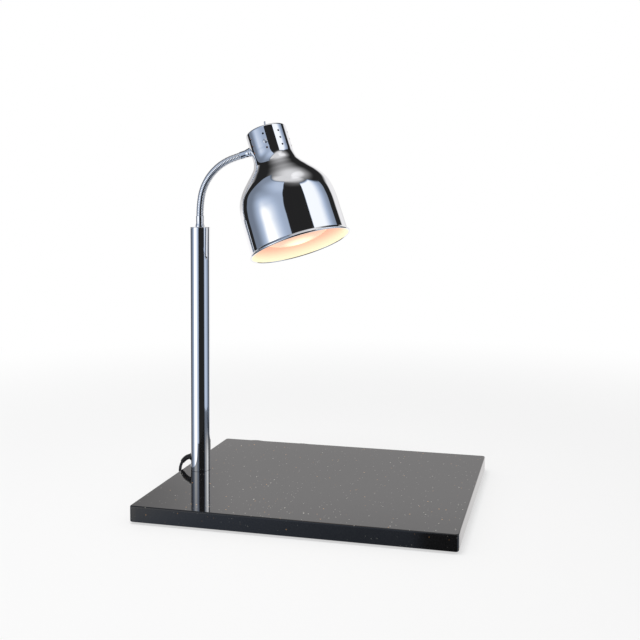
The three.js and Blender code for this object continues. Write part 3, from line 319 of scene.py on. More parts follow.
def turned(radius, angle, height):
    """Points at a radius, angle and height: x = r cos a, y = r sin a, z = h."""
    return joined(radius * np.cos(angle), radius * np.sin(angle), height)


def unit(vectors):
    """Vectors scaled to length one."""
    return vectors / np.linalg.norm(vectors, axis=-1, keepdims=True)


def smoothstep(x, start, end):
    """Zero below start, one above end, 3 t^2 - 2 t^3 between them."""
    t = np.clip((x - start) / (end - start), 0, 1)
    return t * t * (3 - 2 * t)


def frame_of(origin, x, y, z):
    """A 4 x 4 matrix that stands a shape at origin, on three directions."""
    matrix = np.eye(4)
    matrix[:3, 0], matrix[:3, 1], matrix[:3, 2], matrix[:3, 3] = x, y, z, origin
    return matrix


def placed(points, matrix):
    """Points carried by a 4 x 4 matrix."""
    return points @ matrix[:3, :3].T + matrix[:3, 3]


UPRIGHT_X, UPRIGHT_Y, UPRIGHT_Z = np.eye(3)
POST_FRAME = frame_of((*POST_AXIS[:2], 0), UPRIGHT_X, UPRIGHT_Y, UPRIGHT_Z)
HEAD_FRAME = frame_of(
    NECK_ENTRY + NECK_RADIUS * ALONG_FERRULE, ALONG_FERRULE, HEAD_SIDE, HEAD_UP
)


def rounded(corners, radius, steps=4):
    """The profile through corners with each inner corner cut by a curve of about that radius:
    a quadratic blend between points set back along both sides."""
    corners = np.asarray(corners, float)
    out = [corners[:1]]
    t = np.linspace(0, 1, steps + 1)[:, None]
    for before, corner, after in zip(corners[:-2], corners[1:-1], corners[2:]):
        to_before, to_after = before - corner, after - corner
        a = corner + to_before * min(0.5, radius / np.linalg.norm(to_before))
        b = corner + to_after * min(0.5, radius / np.linalg.norm(to_after))
        out.append((1 - t) ** 2 * a + 2 * t * (1 - t) * corner + t**2 * b)
    out.append(corners[-1:])
    return np.concatenate(out)


def grooves(middles, mouth, floor, depth):
    """Rows of (place, depth) across grooves at their middles, half their width at the mouth and at
    the floor."""
    sides = ((-mouth, 0), (-floor, depth), (floor, depth), (mouth, 0))
    return [(middle + side, deep) for middle in middles for side, deep in sides]


def spline(points, per_span=12):
    """A centripetal Catmull-Rom curve through points, worked out by Neville's pyramid on knots
    spaced by the square root of the chord."""
    p = np.asarray(points, float)
    p = np.concatenate([[2 * p[0] - p[1]], p, [2 * p[-1] - p[-2]]])
    knots = np.concatenate([[0], np.cumsum(np.linalg.norm(np.diff(p, axis=0), axis=1) ** 0.5)])
    t0, t1, t2, t3 = (knots[i : len(knots) - 3 + i, None, None] for i in range(4))
    p0, p1, p2, p3 = (p[i : len(p) - 3 + i, None, :] for i in range(4))
    t = t1 + (t2 - t1) * np.linspace(0, 1, per_span, endpoint=False)[None, :, None]
    a1 = (t1 - t) / (t1 - t0) * p0 + (t - t0) / (t1 - t0) * p1
    a2 = (t2 - t) / (t2 - t1) * p1 + (t - t1) / (t2 - t1) * p2
    a3 = (t3 - t) / (t3 - t2) * p2 + (t - t2) / (t3 - t2) * p3
    b1 = (t2 - t) / (t2 - t0) * a1 + (t - t0) / (t2 - t0) * a2
    b2 = (t3 - t) / (t3 - t1) * a2 + (t - t1) / (t3 - t1) * a3
    curve = (t2 - t) / (t2 - t1) * b1 + (t - t1) / (t2 - t1) * b2
    return np.concatenate([curve.reshape(-1, p.shape[1]), p[-2:-1]])


def run_of(path):
    """Distance along a path at each of its points."""
    return np.concatenate([[0], np.cumsum(np.linalg.norm(np.diff(path, axis=0), axis=1))])


def at(values, run, stops):
    """What rows of values, given along a run, come to at stops on it."""
    return np.stack([np.interp(stops, run, column) for column in values.T], -1)


def even(path, step):
    """The path again with points about one step apart along it."""
    run = run_of(path)
    return at(path, run, np.linspace(0, run[-1], max(2, round(run[-1] / step) + 1)))


# Surfaces: patches are pairs of an array of points and an array of quads


def quads(rows, columns, wrap_rows=False):
    """Indices of the cells of a grid of points, numbered row by row. Each row closes on itself,
    and the last row joins the first where rows wrap."""
    r = np.arange(rows if wrap_rows else rows - 1)[:, None]
    c = np.arange(columns)[None, :]
    r1, c1 = (r + 1) % rows, (c + 1) % columns
    cells = [r * columns + c, r * columns + c1, r1 * columns + c1, r1 * columns + c]
    return joined(*cells).reshape(-1, 4)


def grid(points, wrap_rows=False):
    """The patch over an array of points of shape (rows, columns, 3)."""
    return points.reshape(-1, 3), quads(*points.shape[:2], wrap_rows)


def lathe(profile, matrix, sides=96, loop=False):
    """A profile of (radius, height) turned about Z. A loop's last point joins its first."""
    radius, height = np.asarray(profile, float).T[..., None]
    return grid(placed(turned(radius, around(sides), height), matrix), wrap_rows=loop)


def rings(places, radii, angle):
    """Rings of points round places on a path: centre + r (cos a across + sin a up). radii has a
    row for each place and a column for each angle, or one for all."""
    centre, ahead, across = places
    up = np.cross(ahead, across)
    turn = angle[None, :, None]
    ring = np.cos(turn) * across[:, None] + np.sin(turn) * up[:, None]
    return centre[:, None] + radii[..., None] * ring


def swept(path, radius, sides):
    """A round section carried along a path that never stands upright, closed at its ends; across
    is Z x tangent."""
    tangent = unit(np.gradient(path, axis=0))
    places = path, tangent, unit(np.cross(UPRIGHT_Z, tangent))
    points = rings(places, np.full((1, 1), radius), around(sides))
    start, end = (np.repeat(path[k][None, None], sides, 1) for k in (0, -1))
    return grid(np.concatenate([start, points, end]))


def pierced(outer, inner, columns, holes, matrix, kinds=(0, 0)):
    """A turned wall between two skins of (radius, height) rows, joined at both ends, with round
    holes drilled across its axis. A hole is (azimuth, height, radius, half the block of cells that
    it replaces). In each block the skin runs from the block's edge to the circle
    y = r cos t, z = r sin t, and the drilled wall joins the circles of the two skins."""
    cell = 2 * math.pi / columns
    patches, faces = [], []
    rims = [[] for _ in holes]
    for skin, kind in ((outer, kinds[0]), (inner, kinds[1])):
        radius, height = skin.T
        upward = np.argsort(height)
        points = placed(turned(radius[:, None], around(columns), height[:, None]), matrix)
        kept = np.ones((len(skin) - 1, columns), bool)
        for rim, (azimuth, level, bore, half) in zip(rims, holes):
            row = int(np.abs(height - level).argmin())
            column = round(azimuth / cell)
            side = np.arange(-half, half)
            kept[(row + side)[:, None], (column + side)[None] % columns] = False
            last = np.full(2 * half, half)
            r = row + np.concatenate([side, last, -side, -last])
            c = column + np.concatenate([-last, side, last, -side])
            t = np.arctan2(height[r] - level, radius[row] * (c * cell - azimuth))
            order = np.argsort(np.where(t < 1e-3 - math.pi, math.pi, t))
            r, c, t = r[order], c[order], t[order]
            z = level + bore * np.sin(t)
            reach = np.interp(z, height[upward], radius[upward])
            angle = azimuth + np.arcsin(bore * np.cos(t) / reach)
            rim.append(placed(turned(reach, angle, z), matrix))
            z = (z + height[r]) / 2
            reach = np.interp(z, height[upward], radius[upward])
            between = placed(turned(reach, (angle + c * cell) / 2, z), matrix)
            patches.append(grid(np.array([points[r, c % columns], between, rim[-1]])))
            faces.append(kind)
        cells = quads(len(skin), columns).reshape(len(skin) - 1, columns, 4)[kept]
        patches.append((points.reshape(-1, 3), cells))
        faces.append(kind)
    patches += [grid(np.array(rim)) for rim in rims]
    patches += [lathe([outer[end], inner[end]], matrix, columns) for end in (0, -1)]
    faces += [kinds[0]] * (len(rims) + 1) + [kinds[1]]
    return patches, faces


def mesh_object(name, patches, finish, sharp=35, faces=None):
    """One object from patches: equal points merged, faces turned outwards, edges sharper than the
    angle kept crisp. finish lists its materials, and faces the material number of each patch."""
    points, cells, kinds, count = [], [], [], 0
    for (patch_points, patch_cells), kind in zip(patches, faces or [0] * len(patches)):
        points.append(patch_points)
        cells.append(patch_cells + count)
        kinds.append(np.full(len(patch_cells), kind))
        count += len(patch_points)
    mesh = bpy.data.meshes.new(name)
    mesh.from_pydata(np.concatenate(points), [], np.concatenate(cells))
    mesh.polygons.foreach_set("material_index", np.concatenate(kinds).astype(np.int32))
    shape = bmesh.new()
    shape.from_mesh(mesh)
    bmesh.ops.remove_doubles(shape, verts=shape.verts, dist=1e-6)
    bmesh.ops.dissolve_degenerate(shape, edges=shape.edges, dist=1e-7)
    bmesh.ops.recalc_face_normals(shape, faces=shape.faces)
    shape.to_mesh(mesh)
    shape.free()
    mesh.shade_smooth()
    mesh.set_sharp_from_angle(angle=math.radians(sharp))
    for made in finish:
        mesh.materials.append(made)
    piece = bpy.data.objects.new(name, mesh)
    bpy.context.scene.collection.objects.link(piece)
    return piece


# Materials: a socket that takes arithmetic, and one method that adds any node


class Value:
    """A shader socket. Arithmetic on it adds Math nodes."""

    def __init__(self, shader, socket):
        self.shader = shader
        self.socket = socket

    def math(self, operation, *others):
        """The result of a Math node on this and the others."""
        return self.shader.node(
            "ShaderNodeMath", {"operation": operation}, dict(enumerate((self, *others)))
        )["Value"]

    def __add__(self, other):
        return self.math("ADD", other)

    __radd__ = __add__

    def __mul__(self, other):
        return self.math("MULTIPLY", other)

    __rmul__ = __mul__

    def __sub__(self, other):
        return self.math("SUBTRACT", other)

    def __rsub__(self, other):
        return self * -1 + other

    def __truediv__(self, other):
        return self.math("DIVIDE", other)

    def __pow__(self, other):
        return self.math("POWER", other)

    def __neg__(self):
        return self * -1

    def step(self, start, end):
        """Zero below start, one above end, smooth between them."""
        return self.shader.node(
            "ShaderNodeMapRange",
            {"interpolation_type": "SMOOTHSTEP"},
            {"Value": self, "From Min": start, "From Max": end},
        )["Result"]

    def between(self, start, end, soft):
        """One from start to end, with soft edges."""
        return self.step(start - soft, start + soft) * (1 - self.step(end - soft, end + soft))


class Shader:
    """A node tree of a material or a world."""

    def __init__(self, owner):
        owner.use_nodes = True
        self.tree = owner.node_tree
        self.tree.nodes.clear()
        self.object = None

    def node(self, kind, settings=None, inputs=None):
        """Adds a node, its settings first, then the values or links of its sockets; gives its
        outputs by name."""
        added = self.tree.nodes.new(kind)
        for key, value in (settings or {}).items():
            setattr(added, key, value)
        for key, value in (inputs or {}).items():
            socket = added.inputs[key]
            if isinstance(value, Value):
                self.tree.links.new(value.socket, socket)
            elif socket.type == "RGBA":
                socket.default_value = (*value[:3], 1)
            else:
                socket.default_value = value
        return {socket.name: Value(self, socket) for socket in added.outputs if socket.enabled}

    def place(self):
        """Object coordinates."""
        if self.object is None:
            self.object = self.node("ShaderNodeTexCoord")["Object"]
        return self.object

    def parts(self, vector):
        """The X, Y and Z of a vector."""
        return self.node("ShaderNodeSeparateXYZ", {}, {"Vector": vector})

    def from_axis(self, part):
        """Distance from the Z axis."""
        return (part["X"] * part["X"] + part["Y"] * part["Y"]) ** 0.5

    def in_head(self):
        """X, Y and Z in the shade's own frame, Z up its axis."""
        back = Matrix(HEAD_FRAME.tolist()).inverted()
        move, turn = back.to_translation(), back.to_euler()
        local = self.node(
            "ShaderNodeMapping", {}, {"Vector": self.place(), "Rotation": turn, "Location": move}
        )
        return self.parts(local["Vector"])

    def noise(self, scale, detail=2, roughness=0.5, stretch=(1, 1, 1)):
        """Noise of that many features a metre, from 0 to 1."""
        place = self.place()
        if stretch != (1, 1, 1):
            place = self.node(
                "ShaderNodeMapping", {}, {"Vector": place, "Scale": stretch}
            )["Vector"]
        return self.node(
            "ShaderNodeTexNoise", {},
            {"Vector": place, "Scale": scale, "Detail": detail, "Roughness": roughness},
        )["Fac"]

    def blend(self, share, first, second):
        """The first colour going over to the second."""
        return self.node(
            "ShaderNodeMix", {"data_type": "RGBA"}, {0: share, 6: first, 7: second}
        )["Result"]

    def bump(self, height, distance):
        """A normal tilted by a height that stands for that distance."""
        return self.node(
            "ShaderNodeBump", {}, {"Height": height, "Distance": distance, "Strength": 1.0}
        )["Normal"]

    def shown_white(self):
        """One for what the camera, a reflection or a pane shows, zero for light on other things."""
        ray = self.node("ShaderNodeLightPath")
        direct = ray["Is Camera Ray"].math("MAXIMUM", ray["Is Glossy Ray"])
        return direct.math("MAXIMUM", ray["Is Transmission Ray"])

    def surface(self, **inputs):
        """The principled surface; underscores in a name stand for spaces."""
        named = {key.replace("_", " "): value for key, value in inputs.items()}
        shaded = self.node("ShaderNodeBsdfPrincipled", {}, named)["BSDF"]
        self.node("ShaderNodeOutputMaterial", {}, {"Surface": shaded})


def material(name):
    """A new material and its shader."""
    made = bpy.data.materials.new(name)
    return made, Shader(made)


def times(factor, tint):
    """A colour made that many times as bright, at most white."""
    return [min(1, factor * c) for c in tint]


def polished_stone(colours, sizes):
    """Black granite: a faint clouded ground, and sparse flecks of three sizes, pale and gold, with painted shade
    that dims the flecks on faces that don't face up, so that they show most on top."""
    made, s = material("polished_stone")
    total = s.blend(s.noise(38, 4, 0.6), colours.stone, times(1.9, colours.stone))
    # painted shade: the flecks on the sides are dimmed to three tenths, as if less lit than on top
    upward = s.parts(s.node("ShaderNodeNewGeometry")["Normal"])["Z"]
    shown = 0.3 + 0.7 * upward.step(0.3, 0.8)
    for scale, size, share, tint in (
        (1 / sizes.fleck_size, 0.19, 0.84, colours.fleck_pale),
        (0.42 / sizes.fleck_size, 0.14, 0.66, colours.fleck_gold),
        (0.5 / sizes.fleck_size, 0.16, 0.78, colours.fleck_pale),
    ):
        cell = s.node(
            "ShaderNodeTexVoronoi", {"feature": "F1"},
            {"Vector": s.place(), "Scale": scale, "Randomness": 1.0},
        )
        chosen = s.node("ShaderNodeSeparateColor", {}, {"Color": cell["Color"]})
        near = 1 - cell["Distance"].step(size * 0.45, size)
        kept = near * chosen["Red"].step(share, share + 0.02) * (0.15 + 0.85 * chosen["Green"])
        total = s.blend(kept * shown, total, tint)
    s.surface(
        Base_Color=total,
        Roughness=0.035 + 0.035 * s.noise(9, 3, 0.6),
        IOR=1.54,
        Normal=s.bump(s.noise(220, 2), 0.004 * MM),
    )
    return made


def chrome_plate(name, colours, roughness=0.035, peel=0.003 * MM):
    """Bright plate: a cool tint, faint wiping marks in its gloss and a trace of orange peel."""
    made, s = material(name)
    wiped = s.noise(26, 4, 0.65, (1, 1, 0.35))
    spots = s.noise(420, 2).step(0.66, 0.8)
    s.surface(
        Base_Color=s.blend(s.noise(14, 2), colours.chrome, times(0.96, colours.chrome)),
        Metallic=1.0,
        Roughness=roughness + 0.03 * wiped.step(0.45, 0.8) + 0.03 * spots,
        Normal=s.bump(s.noise(160, 1), peel),
    )
    return made


def lining_painted_glow(colours):
    """Inside of the shade: a satin lining with the bulb's light on it painted in as a glow, pale near the rim and
    deeper in colour away from it, and painted shade that makes it dark in the neck; fine turning lines round the
    shade's axis."""
    made, s = material("lining_painted_glow")
    height = s.in_head()["Z"]
    # painted glow: the bulb's light on the lining, pale near the rim and deeper peach further in
    depth = height.step(RIM + 2 * MM, RIM + 26 * MM)
    # painted shade: in the neck the lining is darkened and its painted glow taken out
    neck_painted_shade = height.step(RIM + 110 * MM, CROWN - NECK_LENGTH)
    lines = (height * 9000).math("SINE")
    painted_glow_tone = s.blend(depth, (0.90, 0.84, 0.56), (0.78, 0.40, 0.28))
    s.surface(
        Base_Color=s.blend(neck_painted_shade, colours.reflector, (0.02, 0.02, 0.02)),
        Roughness=0.4 + 0.04 * s.noise(60, 2),
        # painted glow: emission on a lining that is no lamp
        Emission_Color=s.blend(neck_painted_shade, painted_glow_tone, (0, 0, 0)),
        Emission_Strength=1.0,
        Normal=s.bump(lines, 0.004 * MM),
    )
    return made


def rubber(colours):
    """Matt black rubber with a fine grain."""
    made, s = material("rubber")
    grain = s.noise(1400, 3, 0.6)
    s.surface(
        Base_Color=s.blend(s.noise(90, 2), colours.rubber, times(1.7, colours.rubber)),
        Roughness=0.62 + 0.18 * grain,
        Normal=s.bump(grain, 0.03 * MM),
    )
    return made


def cord_sheath(colours):
    """Satin black sheath, faintly dimpled over the cores."""
    made, s = material("cord_sheath")
    s.surface(
        Base_Color=s.blend(s.noise(120, 2), colours.sheath, times(1.8, colours.sheath)),
        Roughness=0.36 + 0.12 * s.noise(500, 2),
        Normal=s.bump(s.noise(240, 2), 0.05 * MM),
    )
    return made


def moulded_plastic(name, tint, roughness=0.32):
    """Moulded plastic with a spark-eroded grain."""
    made, s = material(name)
    grain = s.noise(2600, 2)
    s.surface(
        Base_Color=s.blend(s.noise(60, 2), tint, times(1.5, tint)),
        Roughness=roughness + 0.12 * grain,
        Normal=s.bump(grain, 0.012 * MM),
    )
    return made


def satin_metal(name, tint, roughness=0.3):
    """Plated or drawn metal with a clouded gloss and fine lines."""
    made, s = material(name)
    lines = s.noise(900, 2, 0.5, (1, 1, 0.06))
    s.surface(
        Base_Color=s.blend(s.noise(150, 3), times(0.86, tint), tint),
        Metallic=1.0,
        Roughness=roughness + 0.14 * s.noise(240, 3) + 0.05 * lines,
        Normal=s.bump(lines, 0.006 * MM),
    )
    return made


def glazed_porcelain(colours):
    """White glaze with a slight unevenness."""
    made, s = material("glazed_porcelain")
    s.surface(
        Base_Color=s.blend(s.noise(45, 3), colours.porcelain, times(0.94, colours.porcelain)),
        Roughness=0.14 + 0.1 * s.noise(130, 2),
        Coat_Weight=0.6,
        Normal=s.bump(s.noise(80, 2), 0.05 * MM),
    )
    return made


def lit_glass():
    """The bulb, lit: its frosted face glows, most in the middle, and its silvered back doesn't."""
    made, s = material("lit_glass")
    part = s.in_head()
    silvered = part["Z"].step(RIM + 34 * MM, RIM + 44 * MM)
    core = 1 - s.from_axis(part).step(4 * MM, 34 * MM)
    face = s.blend(core, (0.68, 0.38, 0.25), (1.0, 0.92, 0.58))
    s.surface(
        Base_Color=s.blend(silvered, (0.25, 0.22, 0.18), (0.75, 0.70, 0.62)),
        Metallic=silvered * 0.9,
        Roughness=0.26 + 0.1 * s.noise(400, 2),
        Emission_Color=s.blend(silvered, face, (0, 0, 0)),
        Emission_Strength=1.1,
        Normal=s.bump(s.noise(700, 2), 0.02 * MM),
    )
    return made


def hot_wire(colours):
    """The glowing filament."""
    made, s = material("hot_wire")
    s.surface(
        Base_Color=(0.4, 0.2, 0.1),
        Emission_Color=s.blend(s.noise(300, 1), colours.glow, (1.0, 0.8, 0.5)),
        Emission_Strength=6.0,
    )
    return made


MATERIALS = {}


def finishes():
    """Every finish by name, made once."""
    if not MATERIALS:
        colours = bpy.context.scene.heat_lamp_colours
        sizes = bpy.context.scene.heat_lamp_sizes
        MATERIALS.update(
            stone=polished_stone(colours, sizes),
            chrome=chrome_plate("chrome_plate", colours),
            ribbed=chrome_plate("chrome_ribbed", colours, 0.1, 0.01 * MM),
            lining=lining_painted_glow(colours),
            rubber=rubber(colours),
            cord=cord_sheath(colours),
            black_plastic=moulded_plastic("black_plastic", (0.014, 0.014, 0.015)),
            wire_red=moulded_plastic("brown_sleeve", (0.20, 0.06, 0.03), 0.4),
            wire_blue=moulded_plastic("blue_sleeve", (0.03, 0.10, 0.42), 0.4),
            steel=satin_metal("zinc_plate", colours.zinc),
            brass=satin_metal("brass", colours.brass, 0.24),
            pin=satin_metal("nickel_plate", (0.66, 0.64, 0.58), 0.2),
            porcelain=glazed_porcelain(colours),
            bulb_glass=lit_glass(),
            filament=hot_wire(colours),
        )
    return MATERIALS


# Slots of the record for the finishes that have another name than their slot
SLOTS = {"ribbed": "chrome", "pin": "brass"}


def make(name, patches, finish, body, stands_for, sharp=35, faces=None):
    """A piece of the lamp that takes the place of nodes of the frame and rides on a body. finish names its finish,
    or lists the names of two."""
    names = [finish] if isinstance(finish, str) else finish
    piece = mesh_object(name, patches, [finishes()[key] for key in names], sharp, faces)
    SLOTS.get(names[0], names[0])
    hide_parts(*stands_for)
    if body:
        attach(piece, body)
    return piece


# Pieces


class LAMP_OT_camera(bpy.types.Operator):
    """Adds the camera where the photograph was taken"""

    bl_idname = "lamp.camera"
    bl_label = "Camera"
    bl_options = {"REGISTER", "UNDO"}

    def execute(self, context):
        ahead = np.array([math.sin(CAMERA_YAW), math.cos(CAMERA_YAW), 0])
        right = np.cross(ahead, UPRIGHT_Z)
        forward = math.cos(CAMERA_PITCH) * ahead - math.sin(CAMERA_PITCH) * UPRIGHT_Z
        upward = np.cross(right, forward)
        across = math.cos(CAMERA_ROLL) * right + math.sin(CAMERA_ROLL) * upward
        upward = np.cross(across, forward)
        data = bpy.data.cameras.new("camera")
        data.sensor_width = 36
        data.lens = FOCAL_WIDTHS * data.sensor_width
        data.shift_x, data.shift_y = CAMERA_SHIFT
        data.clip_start, data.clip_end = CAMERA_RANGE
        camera = bpy.data.objects.new("camera", data)
        camera.matrix_world = Matrix(frame_of(CAMERA_PLACE, across, upward, -forward).tolist())
        context.scene.collection.objects.link(camera)
        context.scene.camera = camera
        return {"FINISHED"}


# Mains lead: down over the base's left edge, along it, round the corner, and a hank behind it


def lead_route():
    """The lead from inside the post to the start of the hank."""
    out, beside, down = LEAD_FALL_SHARES.T
    fall = joined(
        LEAD_EXIT_X + (LEAD_X - LEAD_EXIT_X) * out, LEAD_SETTLE * beside,
        LEAD_HEIGHT + (CORD_REST - LEAD_HEIGHT) * down,
    )
    run = joined(LEAD_X, np.linspace(fall[-1, 1], CORNER_Y, 6)[1:], CORD_REST)
    angle = math.pi - np.linspace(0, math.pi / 2, 5)[1:]
    corner = joined(
        LEAD_X + LEAD_CORNER * (1 + np.cos(angle)), CORNER_Y + LEAD_CORNER * np.sin(angle),
        CORD_REST,
    )
    start, end = LEAD_X + LEAD_CORNER, HANK_LEFT - LEAD_JOIN
    share = np.linspace(0, 1, 4)[1:]
    climb = joined(
        start + (end - start) * share, HANK_FRONT_Y, CORD_REST + (HANK_BASE - CORD_REST) * share
    )
    return spline(np.concatenate([fall, run, corner, climb]))


def hank_route():
    """Two layers of long loops with a drawn-in waist: the turns t count the laps, a run takes a
    sixth of a lap and a bend a third; the radius shrinks by a pitch a lap and grows again above,
    and the last stretch leaves the hank for the plug."""
    t = np.linspace(0, HANK_END, 1400)
    radius = OUTER_BEND - HANK_PITCH * np.minimum(t, HANK_TURNS - t)
    z = HANK_BASE + HANK_PITCH * smoothstep(t, HANK_LOOPS - RUN_SHARE, HANK_LOOPS + RUN_SHARE)
    half = t % 0.5
    back = np.where(t % 1 < 0.5, 1, -1)
    share = np.clip(half / RUN_SHARE, 0, 1)
    drawn = HANK_WAIST * np.sin(math.pi * share) ** 2
    turn = -math.pi / 2 + math.pi * np.clip((half - RUN_SHARE) / (0.5 - RUN_SHARE), 0, 1)
    running = half <= RUN_SHARE
    x = HANK_X + back * np.where(
        running, (share - 0.5) * HANK_STRAIGHT, HANK_STRAIGHT / 2 + radius * np.cos(turn)
    )
    y = HANK_Y + back * np.where(running, drawn - radius, radius * np.sin(turn))
    beyond = (t - HANK_TURNS - RUN_SHARE) * HANK_STRAIGHT / RUN_SHARE
    leaving = beyond > 0
    aside = smoothstep(beyond, HANK_TAIL - HANK_TAIL_BEND, HANK_TAIL)
    down = smoothstep(beyond, 0, HANK_TAIL_DROP)
    tail_y = HANK_Y - OUTER_BEND - HANK_PITCH * RUN_SHARE
    x = np.where(leaving, HANK_X + HANK_STRAIGHT / 2 + beyond, x)
    y = np.where(leaving, tail_y + (PLUG_Y - tail_y) * aside, y)
    z = np.where(leaving, z + (PLUG_Z - z) * down, z)
    return joined(x, y, z)


def lead_places(path, distances):
    """Centres, tangents and cross directions at distances along the lead, before its start too."""
    run = run_of(path)
    inside = np.clip(distances, 0, run[-1])
    ahead = unit(at(unit(np.gradient(path, run, axis=0)), run, inside))
    across = unit(np.cross(UPRIGHT_Z, ahead))
    return at(path, run, inside) + (distances - inside)[:, None] * ahead, ahead, across


class LAMP_OT_lead(bpy.types.Operator):
    """Builds the mains lead with its sleeve, the tie round its hank and its plug"""

    bl_idname = "lamp.lead"
    bl_label = "Mains Lead"
    bl_options = {"REGISTER", "UNDO"}

    def execute(self, context):
        route = lead_route()
        first = np.flatnonzero(route[:, 0] < LEAD_EXIT_X)[0]
        share = (route[first - 1, 0] - LEAD_EXIT_X) / (route[first - 1, 0] - route[first, 0])
        exit_point = route[first - 1] + share * (route[first] - route[first - 1])
        path = even(np.concatenate([[exit_point], route[first:], hank_route()]), LEAD_STEP)
        lead = make(
            "mains_lead_sheath", [swept(path, CORD_RADIUS, 16)], "cord", "base",
            ["mains_lead", "lead_hank"], 50,
        )
        pieces = [self.sleeve(path), self.tie(), self.plug(), *self.pins()]
        return {"FINISHED"}

    def sleeve(self, path):
        """A flange against the post, then a taper in ribbed steps that thins to the lead."""
        bore = CORD_RADIUS + FIT_GAP
        inside, flange, length, ribs = -1.8 * MM, 1.6 * MM, 21 * MM, 7
        wide, thin, lip, edge, groove = 4.6 * MM, 3.7 * MM, 6.4 * MM, 0.3 * MM, 0.45 * MM
        start, end = flange + edge, flange + edge + length
        rows = [(inside, bore), (inside, wide), (edge, wide), (edge, lip - edge), (2 * edge, lip),
                (flange, lip), (start, lip - edge)]
        for k in range(ribs):
            for share, dip in ((0, 0), (0.62, 0), (0.68, groove), (0.94, groove)):
                along = (k + share) / ribs
                rows.append((start + along * length, wide + along * (thin - wide) - dip))
        rows += [(end, thin), (end + edge, thin - edge), (end + edge, bore)]
        rows += [(inside + (end - inside) * share, bore) for share in (0.8, 0.6, 0.4, 0.2)]
        distance, radius = np.array(rows).T
        tube = grid(rings(lead_places(path, distance), radius[:, None], around(32)), wrap_rows=True)
        return make("lead_strain_relief", [tube], "rubber", "base", ["lead_sleeve"], 30)

    def tie(self):
        """A flat band round the hank's waist: a rounded rectangle, and the same drawn in by the
        band's thickness, carried along X."""
        start, end = low("hank_tie"), high("hank_tie")
        half, thickness, corner, edge = (end - start) / 2, 0.6 * MM, 3 * MM, 0.15 * MM
        direction = on_circle(around(64))
        centre = np.sign(direction) * (half[1:] - corner)

        def ring(inset, x):
            return joined(x, *(centre + (corner - inset) * direction).T)

        loops = [ring(edge, -half[0]), ring(0, edge - half[0]), ring(0, half[0] - edge),
                 ring(edge, half[0]), ring(thickness, half[0]), ring(thickness, -half[0])]
        band = grid(np.array(loops) + (start + end) / 2, wrap_rows=True)
        return make("hank_strap", [band], "rubber", "base", ["hank_tie"])

    def plug(self):
        """A flat moulded body lofted along X: each section is a superellipse whose half width and
        half height follow the distance from the lead, with finger grooves across its sides."""
        start, size = low("plug_body"), high("plug_body") - low("plug_body")
        half = size[1:] / 2
        share = np.concatenate([[0], np.linspace(0, 1, 61), [1]])
        wide = np.interp(share, [0, 0.03, 0.36, 0.9, 0.97, 1], [0.46, 0.54, 0.92, 1, 0.99, 0.92])
        tall = np.interp(share, [0, 0.03, 0.3, 0.94, 1], [0.62, 0.76, 1, 1, 0.84])
        grooved = (share > 0.4) & (share < 0.76)
        wide -= 0.05 * grooved * np.sin((share - 0.4) * math.pi / 0.06) ** 2
        wide[[0, -1]] = tall[[0, -1]] = 0
        direction = on_circle(around(72))
        across, upward = (np.sign(direction) * np.abs(direction) ** 0.42).T
        points = joined(
            size[0] * share[:, None], half[0] * (1 + wide[:, None] * across),
            half[1] * (1 + tall[:, None] * upward),
        )
        body = grid(start + points)
        return make("plug_moulding", [body], "black_plastic", "base", ["plug_body"], 40)

    def pins(self):
        """Two turned pins with domed ends."""
        dome = on_circle(np.linspace(0, math.pi / 2, 7))
        for node in ("plug_pin_1", "plug_pin_2"):
            start, end = low(node), high(node)
            radius, run, middle = (end - start)[2] / 2, (end - start)[0], (start + end) / 2
            matrix = frame_of((start[0], *middle[1:]), UPRIGHT_Y, UPRIGHT_Z, UPRIGHT_X)
            profile = [(0, 0), (radius, 0), *(dome * radius + (0, run - radius))]
            yield make(node + "_turned", [lathe(profile, matrix, 32)], "pin", "base", [node])


# Base: a polished slab on four feet, its post bolted up from below


def slab_columns():
    """Points round the slab's top view with their outward normals, in order round the post: where
    evenly spread rays from the post meet the straight edges, and arcs at the corners."""
    half, middle = (SLAB_HIGH - SLAB_LOW)[:2] / 2, (SLAB_HIGH + SLAB_LOW)[:2] / 2
    post = POST_AXIS[:2] - middle
    ray = on_circle(around(120) + 0.01)
    share = ((np.sign(ray) * half - post) / ray).min(1)
    hit = post + share[:, None] * ray
    inner = half - SLAB_CORNER
    straight = (np.abs(hit) < inner).any(1)
    hit = hit[straight]
    normal = np.sign(hit) * (np.abs(hit) > inner)
    for sign in ((1, 1), (-1, 1), (-1, -1), (1, -1)):
        corner = on_circle(np.linspace(0, math.pi / 2, 9)) * sign
        hit = np.concatenate([hit, inner * sign + SLAB_CORNER * corner])
        normal = np.concatenate([normal, corner])
    order = np.argsort(np.arctan2(*(hit - post)[:, ::-1].T))
    return hit[order] + middle, normal[order]


